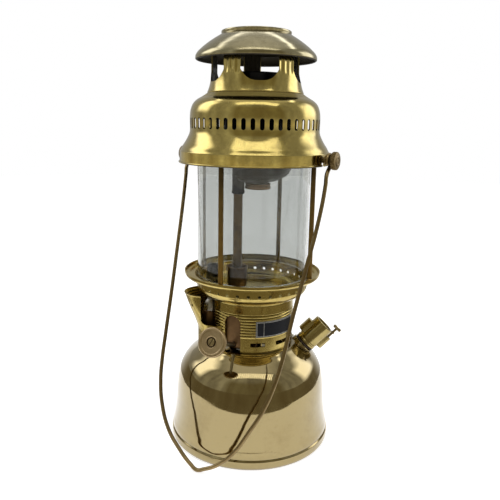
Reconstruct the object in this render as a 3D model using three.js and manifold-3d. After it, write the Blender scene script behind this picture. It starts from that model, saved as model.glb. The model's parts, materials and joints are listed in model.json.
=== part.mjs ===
// Pressure lantern for kerosene: brass tank, pierced gallery, glass chimney, hood and wire bail.
// Millimetres, +Z up. The origin is the middle of the flat underside of the tank.
// An azimuth is in degrees from the front (-Y) towards the right (+X).
import * as THREE from 'three';
import { mergeVertices, mergeGeometries } from 'three/addons/utils/BufferGeometryUtils.js';
import Module from 'manifold-3d';

const manifoldModule = await Module();
manifoldModule.setup();

// Shared fits
const clearance = 0.3;
const overrun = 3;
const weldDistance = 0.0005;

// Tank and its base pan
const tankRadius = 84.8;
const tankHeight = 104;
const tankWall = 1.2;
const tankTopMargin = 3.6;
const seamHeight = 10.5;
const wellMargin = 7.4;
const wellDepth = 8;
const channelDepth = 3;
const tankShares = [[0.969, 0.12], [0.886, 0.298], [0.845, 0.49], [0.798, 0.644], [0.704, 0.76],
  [0.538, 0.851], [0.316, 0.921], [0.145, 0.967]];
const baseShares = [[0, 0], [0.708, 0], [0.73, 1], [0.91, 1], [0.932, 0], [0.973, 0], [0.998, 0.7]];

// Casing between the tank and the gallery
const casingRadius = 43.4;
const casingWall = 1.2;
const casingHeight = 41.7;
const ribDepth = 0.7;
const ribPitch = 2.6;
const ribCount = 8;
const ribStart = 16;
const ventWidth = 15;
const ventHeight = 3.5;
const ventRise = 8.7;
const ventAzimuths = [9, 45, 81, 117, 153, 189, 225];
const archWidth = 16.4;
const archHeight = 38;
const archAzimuth = -25.5;
const torchWindowAzimuths = [-113, -60];
const torchWindowSpreadAzimuth = 5;
const plateHeight = 16.4;
const plateRise = 17;
const plateThickness = 0.6;
const plateAzimuths = [6, 66];

// Guard that bulges out of the casing round the torch
const guardRadius = 21.5;
const guardTopRadius = 19.8;
const guardWall = 1.1;
const guardInset = 7.66;
const guardAzimuth = -72;
const guardSillHeight = 24;
const guardBendHeight = 18;
const guardRise = 54;
const guardLean = [-16, 3];
const guardPanelMargin = 8.1;

// Gallery, its floor and the cage that stands on it
const galleryBandRadius = 60;
const galleryFlangeRadius = 70.2;
const galleryHeight = 34.9;
const galleryWall = 1.2;
const galleryHoleCount = 34;
const galleryHoleRadius = 1.6;
const galleryHoleRise = 20.9;
const galleryHoleAzimuth = 7.1;
const galleryFloorRise = 16.7;
const galleryFloorThickness = 1;
const gallerySeatWidth = 5.6;
const galleryShares = [[0.08, 0.09], [0.31, 0.22], [0.93, 0.45], [1, 0.54], [1, 0.785]];
const seatShare = 0.83;
const torchWindowShare = 0.77;
const flangeShares = [[0.1, seatShare], [0.72, seatShare], [1, 0.91], [1, 1]];
const rodCircle = 64;
const rodRadius = 2.4;
const rodHeight = 117.3;
const rodAzimuths = [-28, 62, 152, 242];
const cageRingWidth = 11;
const cageRingThickness = 3;

// Glass chimney
const glassRadius = 56.4;
const glassWall = 2.2;

// Hood: rim band, slotted band, shoulder and neck with its windows, below the cowl
const hoodRadius = 75.2;
const hoodWall = 1.2;
const hoodBelowRing = 4.5;
const hoodNeckHeight = 98.2;
const slotBandRow = 5;
const hoodShares = [[1, 0], [0.984, 0.124], [0.942, 0.175], [0.864, 0.277], [0.848, 0.33], [0.846, 0.48],
  [0.808, 0.582], [0.735, 0.624], [0.623, 0.676]];
const neckShares = [[0.58, 0.76], [0.573, 0.82]];
const spigotHeight = 4;
const spigotInset = 3;
const slotCount = 48;
const slotWidth = 3.6;
const slotHeight = 10.4;
const slotRise = 37.9;
const slotAzimuth = 5.6;
const windowCount = 5;
const windowAzimuth = 4.8;
const windowWidth = 35;
const windowRise = 76.8;
const windowSag = 4;
const windowHeight = 28;

// Cowl over the neck
const cowlRadius = 58.3;
const cowlRise = 96.8;
const cowlHeight = 24.6;
const cowlCollarRadius = 33.2;
const cowlCollarHeight = 2.4;
const cowlTopDepth = 1.1;
const cowlShares = [[0.985, 0], [1, 0.075], [0.98, 0.215], [0.909, 0.41], [0.811, 0.595], [0.6, 0.92]];

// Bail, its studs and the knurled nuts
const pivotAzimuth = 60;
const pivotBelowRingTop = 1.5;
const bailTilt = 19;
const bailWireRadius = 1.9;
const bailDrop = 310.4;
const bailReach = 80.2;
const bailEyeRadius = 5.4;
const bailRightShares = [[1, 0.012], [1.008, 0.06], [0.998, 0.193], [0.945, 0.338], [0.892, 0.48],
  [0.852, 0.624], [0.808, 0.695], [0.731, 0.767], [0.606, 0.838], [0.46, 0.91], [0.28, 0.965], [0.12, 0.985]];
const bailLeftShares = [[1, 0.012], [0.988, 0.052], [0.94, 0.193], [0.897, 0.338], [0.857, 0.48],
  [0.823, 0.624], [0.804, 0.695], [0.764, 0.767], [0.676, 0.838], [0.507, 0.91], [0.3, 0.957], [0.12, 0.985]];
const studRadius = 2.5;
const studCollarRadius = 4.6;
const nutRadius = 8.4;
const nutHeight = 6.6;
const knurlDepth = 0.6;
const knurlCount = 16;

// Valve block, vaporizer and control spindle
const blockRadius = 15;
const blockPlace = [-8, -2.5];
const blockHeight = 22;
const blockStubRadius = 8;
const blockStubLength = 7;
const vaporizerPlace = [-15.5, -5];
const vaporizerRadius = 4.6;
const vaporizerBoreRadius = 2.2;
const vaporizerLength = 168;
const vaporizerHeadRadius = 6.5;
const vaporizerHeadLength = 36;
const vaporizerHeadOverlap = 27;
const jetRadius = 4;
const jetLength = 8;
const jetBoreRadius = 0.8;
const needleRadius = 1.6;
const needleTipRadius = 0.45;
const needleTipLength = 5;
const needleStroke = 2.5;
const dipTubeRadius = 3.2;
const dipTubeWall = 1;
const dipTubeLift = 8;
const cupRadius = 9.4;
const cupHeight = 21;
const cupWall = 1;
const cupFootShare = 0.93;
const wheelAzimuth = -26;
const wheelTilt = 22;
const wheelReach = 83;
const wheelRise = 24.3;
const wheelRadius = 14.3;
const wheelThickness = 5;
const wheelHubRadius = 5.4;
const wheelHubHeight = 1.2;
const wheelScrewRadius = 3.6;
const wheelScrewCrownShare = 0.7;
const wheelScrewHeight = 2.16;
const spindleRadius = 2.4;
const spindleLength = 78;
const glandRadius = 6;
const glandLength = 8;
const glandFromWheel = 59.5;

// Preheating torch
const torchFootMargin = 4.4;
const torchFootAzimuth = -74.2;
const torchTopReach = 40.2;
const torchTopAzimuth = -73.4;
const torchHeight = 85;
const torchRadius = 7.4;
const torchNeckRadius = 4;
const torchHeadRadius = 6.8;
const torchShares = [[0.68, 0], [0.68, 0.05], [1, 0.07], [1, 0.45], [0.85, 0.52], [0.54, 0.56], [0.54, 0.69]];
const torchHeadShares = [[0.72, 0], [1, 0.08], [1, 1], [0.78, 1], [0.78, 0.3]];
const torchHeadHeight = 25;
const leverRise = 9;
const leverRadius = 1.6;
const leverLength = 34;
const leverKnobRadius = 3.4;

// Burner and mixing tube in the hood
const chimneyRadius = 28;
const chimneyRise = 74.5;
const chimneySeatRadius = 68.2;
const chimneyFlangeRadius = 72.6;
const chimneyFlangeStep = 1.4;
const chimneyWall = 1.2;
const shieldRadius = 38.4;
const shieldDepth = 27.3;
const shieldShares = [[0, 0], [0.42, 0.045], [0.7, 0.165], [0.885, 0.345], [0.98, 0.58], [1, 1]];
const shieldOpening = [-150, -32];
const burnerPlace = [4, 0];
const chamberRadius = 9;
const chamberHeight = 36;
const mixingTubeRadius = 6.2;
const mixingTubeWall = 1;
const mixingTubeRise = 18;
const mixingTubeOverlap = 8;
const nozzleRingRadius = 13;
const nozzleRingHeight = 5.6;
const ceramicRadius = 10.5;
const ceramicDomeDepth = 1.2;
const ceramicCrownShares = [0.7, 0.6];

// Filler on the right shoulder
const fillerAzimuth = 92;
const fillerTilt = 45;
const fillerGap = 1;
const fillerNeckRadius = 12.6;
const fillerNeckDepth = 12;
const fillerFlareShare = 1.2;
const fillerBoreRadius = 8.6;
const fillerStubWall = 1.6;
const gasketRadius = 11.6;
const gasketThickness = 1.8;
const capRadius = 11.4;
const capHeight = 28.5;
const capWall = 1.6;
const wingReach = 16.5;
const wingWidth = 11;
const wingHeight = 15;
const wingRise = 6.4;
const gaugeDepth = 3.4;
const gaugeDialThickness = 0.8;
const gaugeNeedleWidth = 1.1;
const gaugeNeedleThickness = 0.5;
const gaugeHubRadius = 1.3;
const gaugeNeedleShiftShare = 0.3;
const gaugeGlassThickness = 0.8;
const bleedOffset = 13.3;
const bleedRadius = 1.4;
const bleedLength = 13.2;
const bleedBarLength = 10;
const bleedBarRadius = 1.4;

// Pump on the back shoulder
const pumpAzimuth = 180;
const pumpTilt = 45;
const pumpGap = 0.6;
const pumpBarrelRadius = 11;
const pumpBarrelWall = 1;
const pumpBarrelLength = 74;
const pumpNeckRadius = 14;
const pumpCapRadius = 12.6;
const pumpCapHeight = 5;
const pumpRodRadius = 2.2;
const pumpKnobRadius = 9;
const pumpKnobHeight = 12;
const pumpPistonHeight = 8;
const pumpStroke = 55;
const pumpValveRadius = 5;
const pumpValveLength = 9;
const pumpValveTipShare = 0.6;
const pumpKnobNeckShare = 0.62;

// Facets
const tankSteps = 32;
const wideSteps = 28;
const ringSteps = 24;
const midSteps = 16;
const smallSteps = 12;
const shoulderSearchSteps = 40;

// Places and heights that follow from the pieces beside and below them
const tankTopRadius = casingRadius + tankTopMargin;
const wellRadius = casingRadius - wellMargin;
const guardPlace = polar(casingRadius - guardInset, guardAzimuth);
const torchFoot = polar(casingRadius + torchFootMargin, torchFootAzimuth);
const torchTop = polar(torchTopReach, torchTopAzimuth);
const casingBase = tankHeight + clearance;
const casingTop = casingBase + casingHeight;
const galleryBase = casingTop + clearance;
const galleryTop = galleryBase + galleryHeight;
const galleryHoleHeight = galleryBase + galleryHoleRise;
const galleryFloorBase = galleryBase + galleryFloorRise;
const galleryFloorTop = galleryFloorBase + galleryFloorThickness;
const seatTop = galleryBase + galleryHeight * seatShare + galleryWall;
const glassBase = seatTop + clearance;
const rodBase = glassBase;
const cageRingBase = rodBase + rodHeight + clearance;
const cageRingTop = cageRingBase + cageRingThickness;
const cageRingOuter = rodCircle + cageRingWidth / 2;
const cageRingInner = rodCircle - cageRingWidth / 2;
const chimneyBase = cageRingTop + clearance;
const pivotHeight = cageRingTop - pivotBelowRingTop;
const hoodBase = cageRingBase - hoodBelowRing;
const cowlBase = hoodBase + cowlRise;
const wellFloor = tankHeight - wellDepth;
const blockBase = wellFloor + clearance;
const blockTop = blockBase + blockHeight;
const vaporizerBase = blockTop + clearance;
const vaporizerTop = vaporizerBase + vaporizerLength;
const jetBase = vaporizerTop + clearance;
const chamberBase = chimneyBase - clearance - shieldDepth;

const brass = { color: 0xb59a4e, roughness: 0.28, metalness: 1 };
const materials = {
  polishedBrass: new THREE.MeshStandardMaterial(brass),
  darkBrass: new THREE.MeshStandardMaterial({ color: 0x6f5a2e, roughness: 0.42, metalness: 0.9 }),
  copperBrass: new THREE.MeshStandardMaterial({ color: 0x8a5a34, roughness: 0.4, metalness: 0.95 }),
  blackSteel: new THREE.MeshStandardMaterial({ color: 0x1d1a18, roughness: 0.6, metalness: 0.7 }),
  brightSteel: new THREE.MeshStandardMaterial({ color: 0x8d8a84, roughness: 0.35, metalness: 1 }),
  ceramic: new THREE.MeshStandardMaterial({ color: 0xd8d2c4, roughness: 0.8, metalness: 0 }),
  leather: new THREE.MeshStandardMaterial({ color: 0x2a1f18, roughness: 0.85, metalness: 0 }),
  glass: new THREE.MeshStandardMaterial({ color: 0xdfe6e4, roughness: 0.05, metalness: 0,
    transparent: true, opacity: 0.3 }),
  dialWhite: new THREE.MeshStandardMaterial({ color: 0xe6e2d6, roughness: 0.6, metalness: 0 }),
  plateBlack: new THREE.MeshStandardMaterial({ color: 0x14161a, roughness: 0.4, metalness: 0.1 }),
};

const lantern = new THREE.Group();

// Plain helpers for solids

function toSolid(geometry) {
  const bare = geometry.clone();
  bare.deleteAttribute('normal');
  bare.deleteAttribute('uv');
  const merged = mergeVertices(bare, weldDistance);
  const place = merged.attributes.position;
  const corners = [];
  let volume = 0;
  const a = new THREE.Vector3();
  const b = new THREE.Vector3();
  const c = new THREE.Vector3();
  for (let i = 0; i < merged.index.count; i += 3) {
    const [p, q, r] = [merged.index.getX(i), merged.index.getX(i + 1), merged.index.getX(i + 2)];
    if (p === q || q === r || r === p) continue;
    corners.push(p, q, r);
    a.fromBufferAttribute(place, p);
    b.fromBufferAttribute(place, q);
    c.fromBufferAttribute(place, r);
    volume += a.dot(b.cross(c));
  }
  if (volume < 0) corners.reverse();
  return new manifoldModule.Manifold(new manifoldModule.Mesh({
    numProp: 3,
    vertProperties: Float32Array.from(place.array),
    triVerts: Uint32Array.from(corners),
  }));
}

function toGeometry(solid) {
  const result = solid.getMesh();
  const geometry = new THREE.BufferGeometry();
  geometry.setAttribute('position', new THREE.BufferAttribute(Float32Array.from(result.vertProperties), 3));
  geometry.setIndex(Array.from(result.triVerts));
  geometry.computeVertexNormals();
  return geometry;
}

function addPiece(parent, name, solid, material) {
  const mesh = new THREE.Mesh(toGeometry(solid), material);
  mesh.name = name;
  parent.add(mesh);
  return mesh;
}

// A round shape turned about Z from [radius, height] points. A profile off the axis is closed on itself.
function turnedGeometry(points, steps, azimuth = 0) {
  const profile = points.map(([radius, height]) => new THREE.Vector2(radius, height));
  const first = profile[0];
  const last = profile[profile.length - 1];
  const onAxis = first.x === 0 && last.x === 0;
  if (!onAxis && !first.equals(last)) profile.push(first.clone());
  const geometry = new THREE.LatheGeometry(profile, steps, THREE.MathUtils.degToRad(azimuth));
  return geometry.rotateX(Math.PI / 2);
}

function turned(points, steps, azimuth = 0) {
  return toSolid(turnedGeometry(points, steps, azimuth));
}

// A plain round bar on Z
function bar(radius, low, high, steps = smallSteps) {
  return turned([[0, low], [radius, low], [radius, high], [0, high]], steps);
}

function pipe(radius, bore, low, high, steps = smallSteps) {
  return turned([[bore, low], [radius, low], [radius, high], [bore, high]], steps);
}

function moved(geometry, x, y, z = 0) {
  return geometry.translate(x, y, z);
}

function polar(radius, azimuth) {
  const angle = THREE.MathUtils.degToRad(azimuth);
  return [radius * Math.sin(angle), -radius * Math.cos(angle)];
}

// The inner line of a wall that follows an outline: each corner moves left by the wall, never past the axis
function insetOutline(points, wall) {
  const lefts = [];
  for (let i = 0; i + 1 < points.length; i += 1) {
    const step = [points[i + 1][0] - points[i][0], points[i + 1][1] - points[i][1]];
    const length = Math.hypot(step[0], step[1]);
    lefts.push([-step[1] / length, step[0] / length]);
  }
  return points.map(([radius, height], i) => {
    const before = lefts[Math.max(i - 1, 0)];
    const after = lefts[Math.min(i, lefts.length - 1)];
    const sum = [before[0] + after[0], before[1] + after[1]];
    const reach = 2 / (sum[0] * sum[0] + sum[1] * sum[1]);
    const inner = radius + sum[0] * reach * wall;
    return [radius === 0 ? 0 : Math.max(inner, 0), height + sum[1] * reach * wall];
  });
}

// A sheet metal shell of even wall. The outline runs up the outside.
function shellProfile(outline, wall) {
  const inside = insetOutline(outline, wall);
  if (outline[outline.length - 1][0] === 0) return [...outline].reverse().concat(inside);
  return outline.concat(inside.reverse());
}

function filledProfile(outline, grow) {
  const skin = grow === 0 ? outline : insetOutline(outline, -grow);
  const low = skin[0][1];
  const high = skin[skin.length - 1][1];
  const body = skin.filter(([radius]) => radius > 0);
  return [[0, low], ...body, [0, high]];
}

function heightOnOutline(outline, radius) {
  for (let i = outline.length - 1; i > 0; i -= 1) {
    const [r0, z0] = outline[i - 1];
    const [r1, z1] = outline[i];
    if (r0 >= radius && r1 <= radius && r0 > r1) return z0 + ((z1 - z0) * (r0 - radius)) / (r0 - r1);
  }
  return outline[outline.length - 1][1];
}

// A group whose +Z points out along an azimuth and up by a tilt, with +X down the slope
function tiltedFrame(parent, place, azimuth, tilt) {
  const turn = THREE.MathUtils.degToRad(azimuth);
  const rise = THREE.MathUtils.degToRad(tilt);
  const out = new THREE.Vector3(Math.sin(turn), -Math.cos(turn), 0);
  const up = new THREE.Vector3(0, 0, 1);
  const zAxis = out.clone().multiplyScalar(Math.cos(rise)).addScaledVector(up, Math.sin(rise));
  const xAxis = out.clone().multiplyScalar(Math.sin(rise)).addScaledVector(up, -Math.cos(rise));
  const yAxis = zAxis.clone().cross(xAxis);
  const frame = new THREE.Group();
  frame.position.set(...place);
  frame.quaternion.setFromRotationMatrix(new THREE.Matrix4().makeBasis(xAxis, yAxis, zAxis));
  frame.updateMatrix();
  parent.add(frame);
  return frame;
}

// A solid of the lantern's own frame, seen from inside a tilted frame, and the other way round
function solidInFrame(geometry, frame) {
  return toSolid(geometry.clone().applyMatrix4(frame.matrix.clone().invert()));
}

function solidFromFrame(geometry, frame) {
  return toSolid(geometry.clone().applyMatrix4(frame.matrix));
}

// A sector of a disc between two azimuths, as a prism
function sector(fromAzimuth, toAzimuth, radius, low, high) {
  const outline = new THREE.Shape();
  outline.moveTo(0, 0);
  const steps = 6;
  const reach = radius / Math.cos(THREE.MathUtils.degToRad((toAzimuth - fromAzimuth) / (steps * 2)));
  for (let i = 0; i <= steps; i += 1) {
    outline.lineTo(...polar(reach, fromAzimuth + ((toAzimuth - fromAzimuth) * i) / steps));
  }
  const geometry = new THREE.ExtrudeGeometry(outline, { depth: high - low, bevelEnabled: false });
  return toSolid(moved(geometry, 0, 0, low));
}

// A flat outline of [across, up] that stands upright and cuts outwards at an azimuth
function radialCut(shape, azimuth, near, far) {
  const geometry = new THREE.ExtrudeGeometry(shape, { depth: far - near, bevelEnabled: false,
    curveSegments: 5 });
  geometry.rotateX(Math.PI / 2);
  geometry.translate(0, -near, 0);
  return geometry.rotateZ(THREE.MathUtils.degToRad(azimuth));
}

// Outlines that more than one piece follows

function tankOutline() {
  const wall = tankShares.map(([across, up]) => [
    tankTopRadius + across * (tankRadius - tankTopRadius), up * tankHeight]);
  const lip = [wall[0][0] - clearance, seamHeight + clearance];
  const wellEdge = (tankTopRadius + wellRadius) / 2;
  return [lip, ...wall, [tankTopRadius, tankHeight], [wellEdge, tankHeight], [wellRadius, wellFloor],
    [0, wellFloor]];
}

// The tank without its well, grown by the clearance: what stands on the tank is cut by it
function tankEnvelope() {
  const skin = tankOutline().slice(0, -3);
  return turnedGeometry(filledProfile([...skin, [0, tankHeight]], clearance), tankSteps);
}

function galleryOutline() {
  const cone = galleryShares.map(([across, up]) => [
    casingRadius + across * (galleryBandRadius - casingRadius), galleryBase + up * galleryHeight]);
  const flange = flangeShares.map(([across, up]) => [
    galleryBandRadius + across * (galleryFlangeRadius - galleryBandRadius),
    galleryBase + up * galleryHeight]);
  return [[casingRadius, galleryBase], ...cone, ...flange];
}

function hoodOutline(shares) {
  return shares.map(([across, up]) => [across * hoodRadius, hoodBase + up * hoodNeckHeight]);
}

function cowlOutline() {
  const dome = cowlShares.map(([across, up]) => [across * cowlRadius, cowlBase + up * cowlHeight]);
  const collarBase = cowlBase + cowlHeight;
  return [...dome, [cowlCollarRadius, collarBase], [cowlCollarRadius, collarBase + cowlCollarHeight]];
}

// Where a neck on the tank's shoulder starts: a gap beside the casing, as low as its flat face clears the tank
function shoulderPlace(azimuth, tilt, neckRadius, gap, flatRadius) {
  const skin = tankOutline();
  const [along, across] = [Math.cos(THREE.MathUtils.degToRad(tilt)),
    Math.sin(THREE.MathUtils.degToRad(tilt))];
  const foot = [casingRadius + gap + neckRadius * across, tankHeight - neckRadius * along];
  const isClear = (shift) => [-1, 1].every((side) => {
    const radius = foot[0] + shift * along + side * flatRadius * across;
    const height = foot[1] + shift * across - side * flatRadius * along;
    return height > heightOnOutline(skin, radius) + clearance;
  });
  let [low, high] = [-tankHeight, tankHeight];
  for (let i = 0; i < shoulderSearchSteps; i += 1) {
    const middle = (low + high) / 2;
    if (isClear(middle)) high = middle;
    else low = middle;
  }
  return [...polar(foot[0] + high * along, azimuth), foot[1] + high * across];
}

// Tank

function buildTank() {
  const shell = turned(shellProfile(tankOutline(), tankWall), tankSteps);
  const stubHole = toSolid(moved(
    turnedGeometry(filledProfile([[blockStubRadius + clearance, wellFloor - overrun - tankWall],
      [blockStubRadius + clearance, wellFloor + overrun]], 0), smallSteps), ...blockPlace));
  const stubRoom = fillerBoreRadius + fillerStubWall + clearance;
  const stubRoomBase = -fillerNeckDepth - overrun;
  const fillerHole = solidFromFrame(turnedGeometry([[0, stubRoomBase], [stubRoom, stubRoomBase],
    [stubRoom, fillerNeckDepth], [0, fillerNeckDepth]], midSteps), fillerFrame);
  const barrelHole = pumpBarrelRadius + clearance;
  const pumpHole = solidFromFrame(turnedGeometry([[0, -pumpNeckRadius * 2], [barrelHole, -pumpNeckRadius * 2],
    [barrelHole, pumpNeckRadius], [0, pumpNeckRadius]], midSteps), pumpFrame);
  addPiece(lantern, 'tank_shell', shell.subtract(stubHole).subtract(fillerHole).subtract(pumpHole),
    materials.polishedBrass);

  const pan = baseShares.map(([across, up]) => [across * tankRadius, up * channelDepth]);
  const lipRadius = tankOutline()[0][0];
  const skirt = [[tankRadius, seamHeight * 0.85], [lipRadius, seamHeight]];
  addPiece(lantern, 'tank_base', turned(shellProfile([...pan, ...skirt], tankWall), tankSteps),
    materials.polishedBrass);
}

// Filler neck, gasket, cap with its wings and gauge, and the bleed screw beside it

function fillerNeckAndCap() {
  const bore = fillerBoreRadius;
  const neckTop = -clearance;
  const neck = turned([[bore, -fillerNeckDepth * 2], [fillerNeckRadius * fillerFlareShare,
    -fillerNeckDepth * 2],
    [fillerNeckRadius, neckTop - gasketThickness], [fillerNeckRadius, neckTop], [bore, neckTop]], midSteps);
  const stub = pipe(bore + fillerStubWall, bore, -fillerNeckDepth, neckTop, midSteps);
  addPiece(fillerFrame, 'filler_neck', neck.subtract(solidInFrame(tankEnvelope(), fillerFrame)).add(stub),
    materials.polishedBrass);
  addPiece(fillerFrame, 'filler_gasket', pipe(gasketRadius, bore, 0, gasketThickness, midSteps),
    materials.leather);

  const capBase = gasketThickness + clearance;
  const capTop = capBase + capHeight;
  const recess = capRadius - capWall;
  const plug = bore - clearance;
  const plugDepth = fillerNeckDepth / 2;
  const body = turned([[0, capBase - plugDepth], [plug, capBase - plugDepth], [plug, capBase],
    [capRadius, capBase],
    [capRadius, capTop], [recess, capTop], [recess, capTop - gaugeDepth], [0, capTop - gaugeDepth]],
    midSteps);
  const wing = new THREE.Shape();
  const blunt = wingReach - wingWidth / 4;
  wing.moveTo(-blunt, -wingWidth / 2);
  wing.lineTo(blunt, -wingWidth / 2);
  wing.lineTo(wingReach, -wingWidth / 4);
  wing.lineTo(wingReach, wingWidth / 4);
  wing.lineTo(blunt, wingWidth / 2);
  wing.lineTo(-blunt, wingWidth / 2);
  wing.lineTo(-wingReach, wingWidth / 4);
  wing.lineTo(-wingReach, -wingWidth / 4);
  wing.closePath();
  const wings = new THREE.ExtrudeGeometry(wing, { depth: wingHeight, bevelEnabled: false });
  const wingBase = capBase + wingRise;
  addPiece(fillerFrame, 'filler_cap', body.add(toSolid(moved(wings, 0, 0, wingBase))),
    materials.polishedBrass);

  const dialBase = capTop - gaugeDepth + clearance;
  const dialTop = dialBase + gaugeDialThickness;
  const dialRadius = recess - clearance;
  addPiece(fillerFrame, 'gauge_dial', bar(dialRadius, dialBase, dialTop, midSteps), materials.dialWhite);
  const needleBase = dialTop + clearance;
  const needleTop = needleBase + gaugeNeedleThickness;
  const pointer = new THREE.BoxGeometry(dialRadius, gaugeNeedleWidth, gaugeNeedleThickness);
  pointer.translate(dialRadius * gaugeNeedleShiftShare, 0, (needleBase + needleTop) / 2);
  const hub = bar(gaugeHubRadius, needleBase, needleTop);
  addPiece(fillerFrame, 'gauge_needle', hub.add(toSolid(pointer)), materials.plateBlack);
  const glassLow = needleTop + clearance;
  addPiece(fillerFrame, 'gauge_glass', bar(dialRadius, glassLow, glassLow + gaugeGlassThickness, midSteps),
    materials.glass);

  const screwBase = wingBase + wingHeight + clearance;
  const screwTop = screwBase + bleedLength;
  const stem = toSolid(moved(turnedGeometry([[0, screwBase], [bleedRadius, screwBase],
    [bleedRadius, screwTop], [0, screwTop]], smallSteps), bleedOffset, 0));
  const head = new THREE.CylinderGeometry(bleedBarRadius, bleedBarRadius, bleedBarLength, smallSteps);
  head.rotateZ(Math.PI / 2);
  head.translate(bleedOffset, 0, screwTop);
  addPiece(fillerFrame, 'bleed_screw', stem.add(toSolid(head)), materials.darkBrass);
}

// Pump: barrel, neck, cap, valve, and the rod with its knob and leather piston

function pump() {
  const inner = pumpBarrelRadius - pumpBarrelWall;
  const barrelTop = pumpNeckRadius / 2;
  const barrelBase = barrelTop - pumpBarrelLength;
  const valveHole = pumpValveRadius + clearance;
  const barrel = turned([[valveHole, barrelBase], [pumpBarrelRadius, barrelBase],
    [pumpBarrelRadius, barrelTop],
    [inner, barrelTop], [inner, barrelBase + pumpBarrelWall], [valveHole, barrelBase + pumpBarrelWall]],
    midSteps);
  addPiece(pumpFrame, 'pump_barrel', barrel, materials.darkBrass);
  addPiece(pumpFrame, 'pump_valve', turned([[0, barrelBase - pumpValveLength],
    [pumpValveRadius * pumpValveTipShare, barrelBase - pumpValveLength],
    [pumpValveRadius, barrelBase - pumpValveLength / 2], [pumpValveRadius, barrelBase + pumpBarrelWall],
    [0, barrelBase + pumpBarrelWall]], smallSteps), materials.darkBrass);
  const neck = pipe(pumpNeckRadius, pumpBarrelRadius + clearance, -pumpNeckRadius, barrelTop, midSteps);
  addPiece(pumpFrame, 'pump_neck', neck.subtract(solidInFrame(tankEnvelope(), pumpFrame)),
    materials.polishedBrass);
  const capBase = barrelTop + clearance;
  const capTop = capBase + pumpCapHeight;
  addPiece(pumpFrame, 'pump_cap', pipe(pumpCapRadius, pumpRodRadius + clearance, capBase, capTop, midSteps),
    materials.polishedBrass);
  const knobBase = capTop + clearance;
  const knobTop = knobBase + pumpKnobHeight;
  const knobNeck = pumpKnobRadius * pumpKnobNeckShare;
  addPiece(pumpFrame, 'pump_knob', turned([[0, knobBase], [knobNeck, knobBase],
    [knobNeck, knobBase + pumpKnobHeight / 3], [pumpKnobRadius, knobBase + pumpKnobHeight / 2],
    [pumpKnobRadius, knobTop - pumpKnobHeight / 6], [knobNeck, knobTop], [0, knobTop]], midSteps),
  materials.darkBrass);
  const pistonBase = barrelBase + pumpBarrelWall + clearance;
  const pistonTop = pistonBase + pumpPistonHeight;
  addPiece(pumpFrame, 'pump_piston', turned([[0, pistonBase], [inner - clearance * 2, pistonBase],
    [inner - clearance, pistonTop], [inner - clearance * 4, pistonTop], [pumpRodRadius * 2, pistonBase +
    pumpPistonHeight / 3], [0, pistonBase + pumpPistonHeight / 3]], midSteps), materials.leather);
  addPiece(pumpFrame, 'pump_rod', bar(pumpRodRadius, pistonBase + pumpPistonHeight / 3 + clearance,
    knobBase - clearance), materials.brightSteel);
}

// Casing with its ribs, vents, arch and torch window

function casingOutline() {
  const groove = casingRadius - ribDepth;
  const outline = [[casingRadius, casingBase], [groove, casingBase + casingWall]];
  for (let i = 0; i < ribCount; i += 1) {
    const middle = casingBase + ribStart + i * ribPitch;
    outline.push([groove, middle - ribPitch / 2], [casingRadius, middle]);
  }
  outline.push([groove, casingBase + ribStart + (ribCount - 0.5) * ribPitch]);
  outline.push([groove, casingTop - casingWall]);
  outline.push([casingRadius, casingTop]);
  return outline;
}

function archShape(width, height) {
  const shape = new THREE.Shape();
  const shoulder = height - width / 2;
  shape.moveTo(-width / 2, 0);
  shape.lineTo(width / 2, 0);
  shape.lineTo(width / 2, shoulder);
  shape.absarc(0, shoulder, width / 2, 0, Math.PI, false);
  shape.closePath();
  return shape;
}

function casing() {
  const innerRadius = casingRadius - ribDepth - casingWall;
  const profile = [...casingOutline(), [innerRadius, casingTop], [innerRadius, casingBase]];
  const vents = ventAzimuths.map((azimuth) => {
    const vent = new THREE.BoxGeometry(ventWidth, casingRadius / 2, ventHeight);
    vent.translate(0, -casingRadius, casingBase + ventRise);
    return vent.rotateZ(THREE.MathUtils.degToRad(azimuth));
  });
  const arch = radialCut(archShape(archWidth, archHeight + overrun), archAzimuth, innerRadius / 2,
    casingRadius + overrun);
  const window = sector(...torchWindowAzimuths, casingRadius + overrun, casingBase - overrun,
    casingTop + overrun);
  const wall = turned(profile, wideSteps)
    .subtract(toSolid(mergeGeometries(vents)))
    .subtract(toSolid(moved(arch, 0, 0, casingBase - overrun)))
    .subtract(window);
  addPiece(lantern, 'casing', wall, materials.polishedBrass);

  const plateInner = casingRadius + clearance;
  const plateBase = casingBase + plateRise;
  const ring = pipe(plateInner + plateThickness, plateInner, plateBase, plateBase + plateHeight, wideSteps);
  const span = sector(...plateAzimuths, casingRadius * 2, plateBase - overrun,
    plateBase + plateHeight + overrun);
  addPiece(lantern, 'label_plate', ring.intersect(span), materials.plateBlack);
}

// Guard: a pocket on the tank that leans out into an open panel beside the torch

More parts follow.
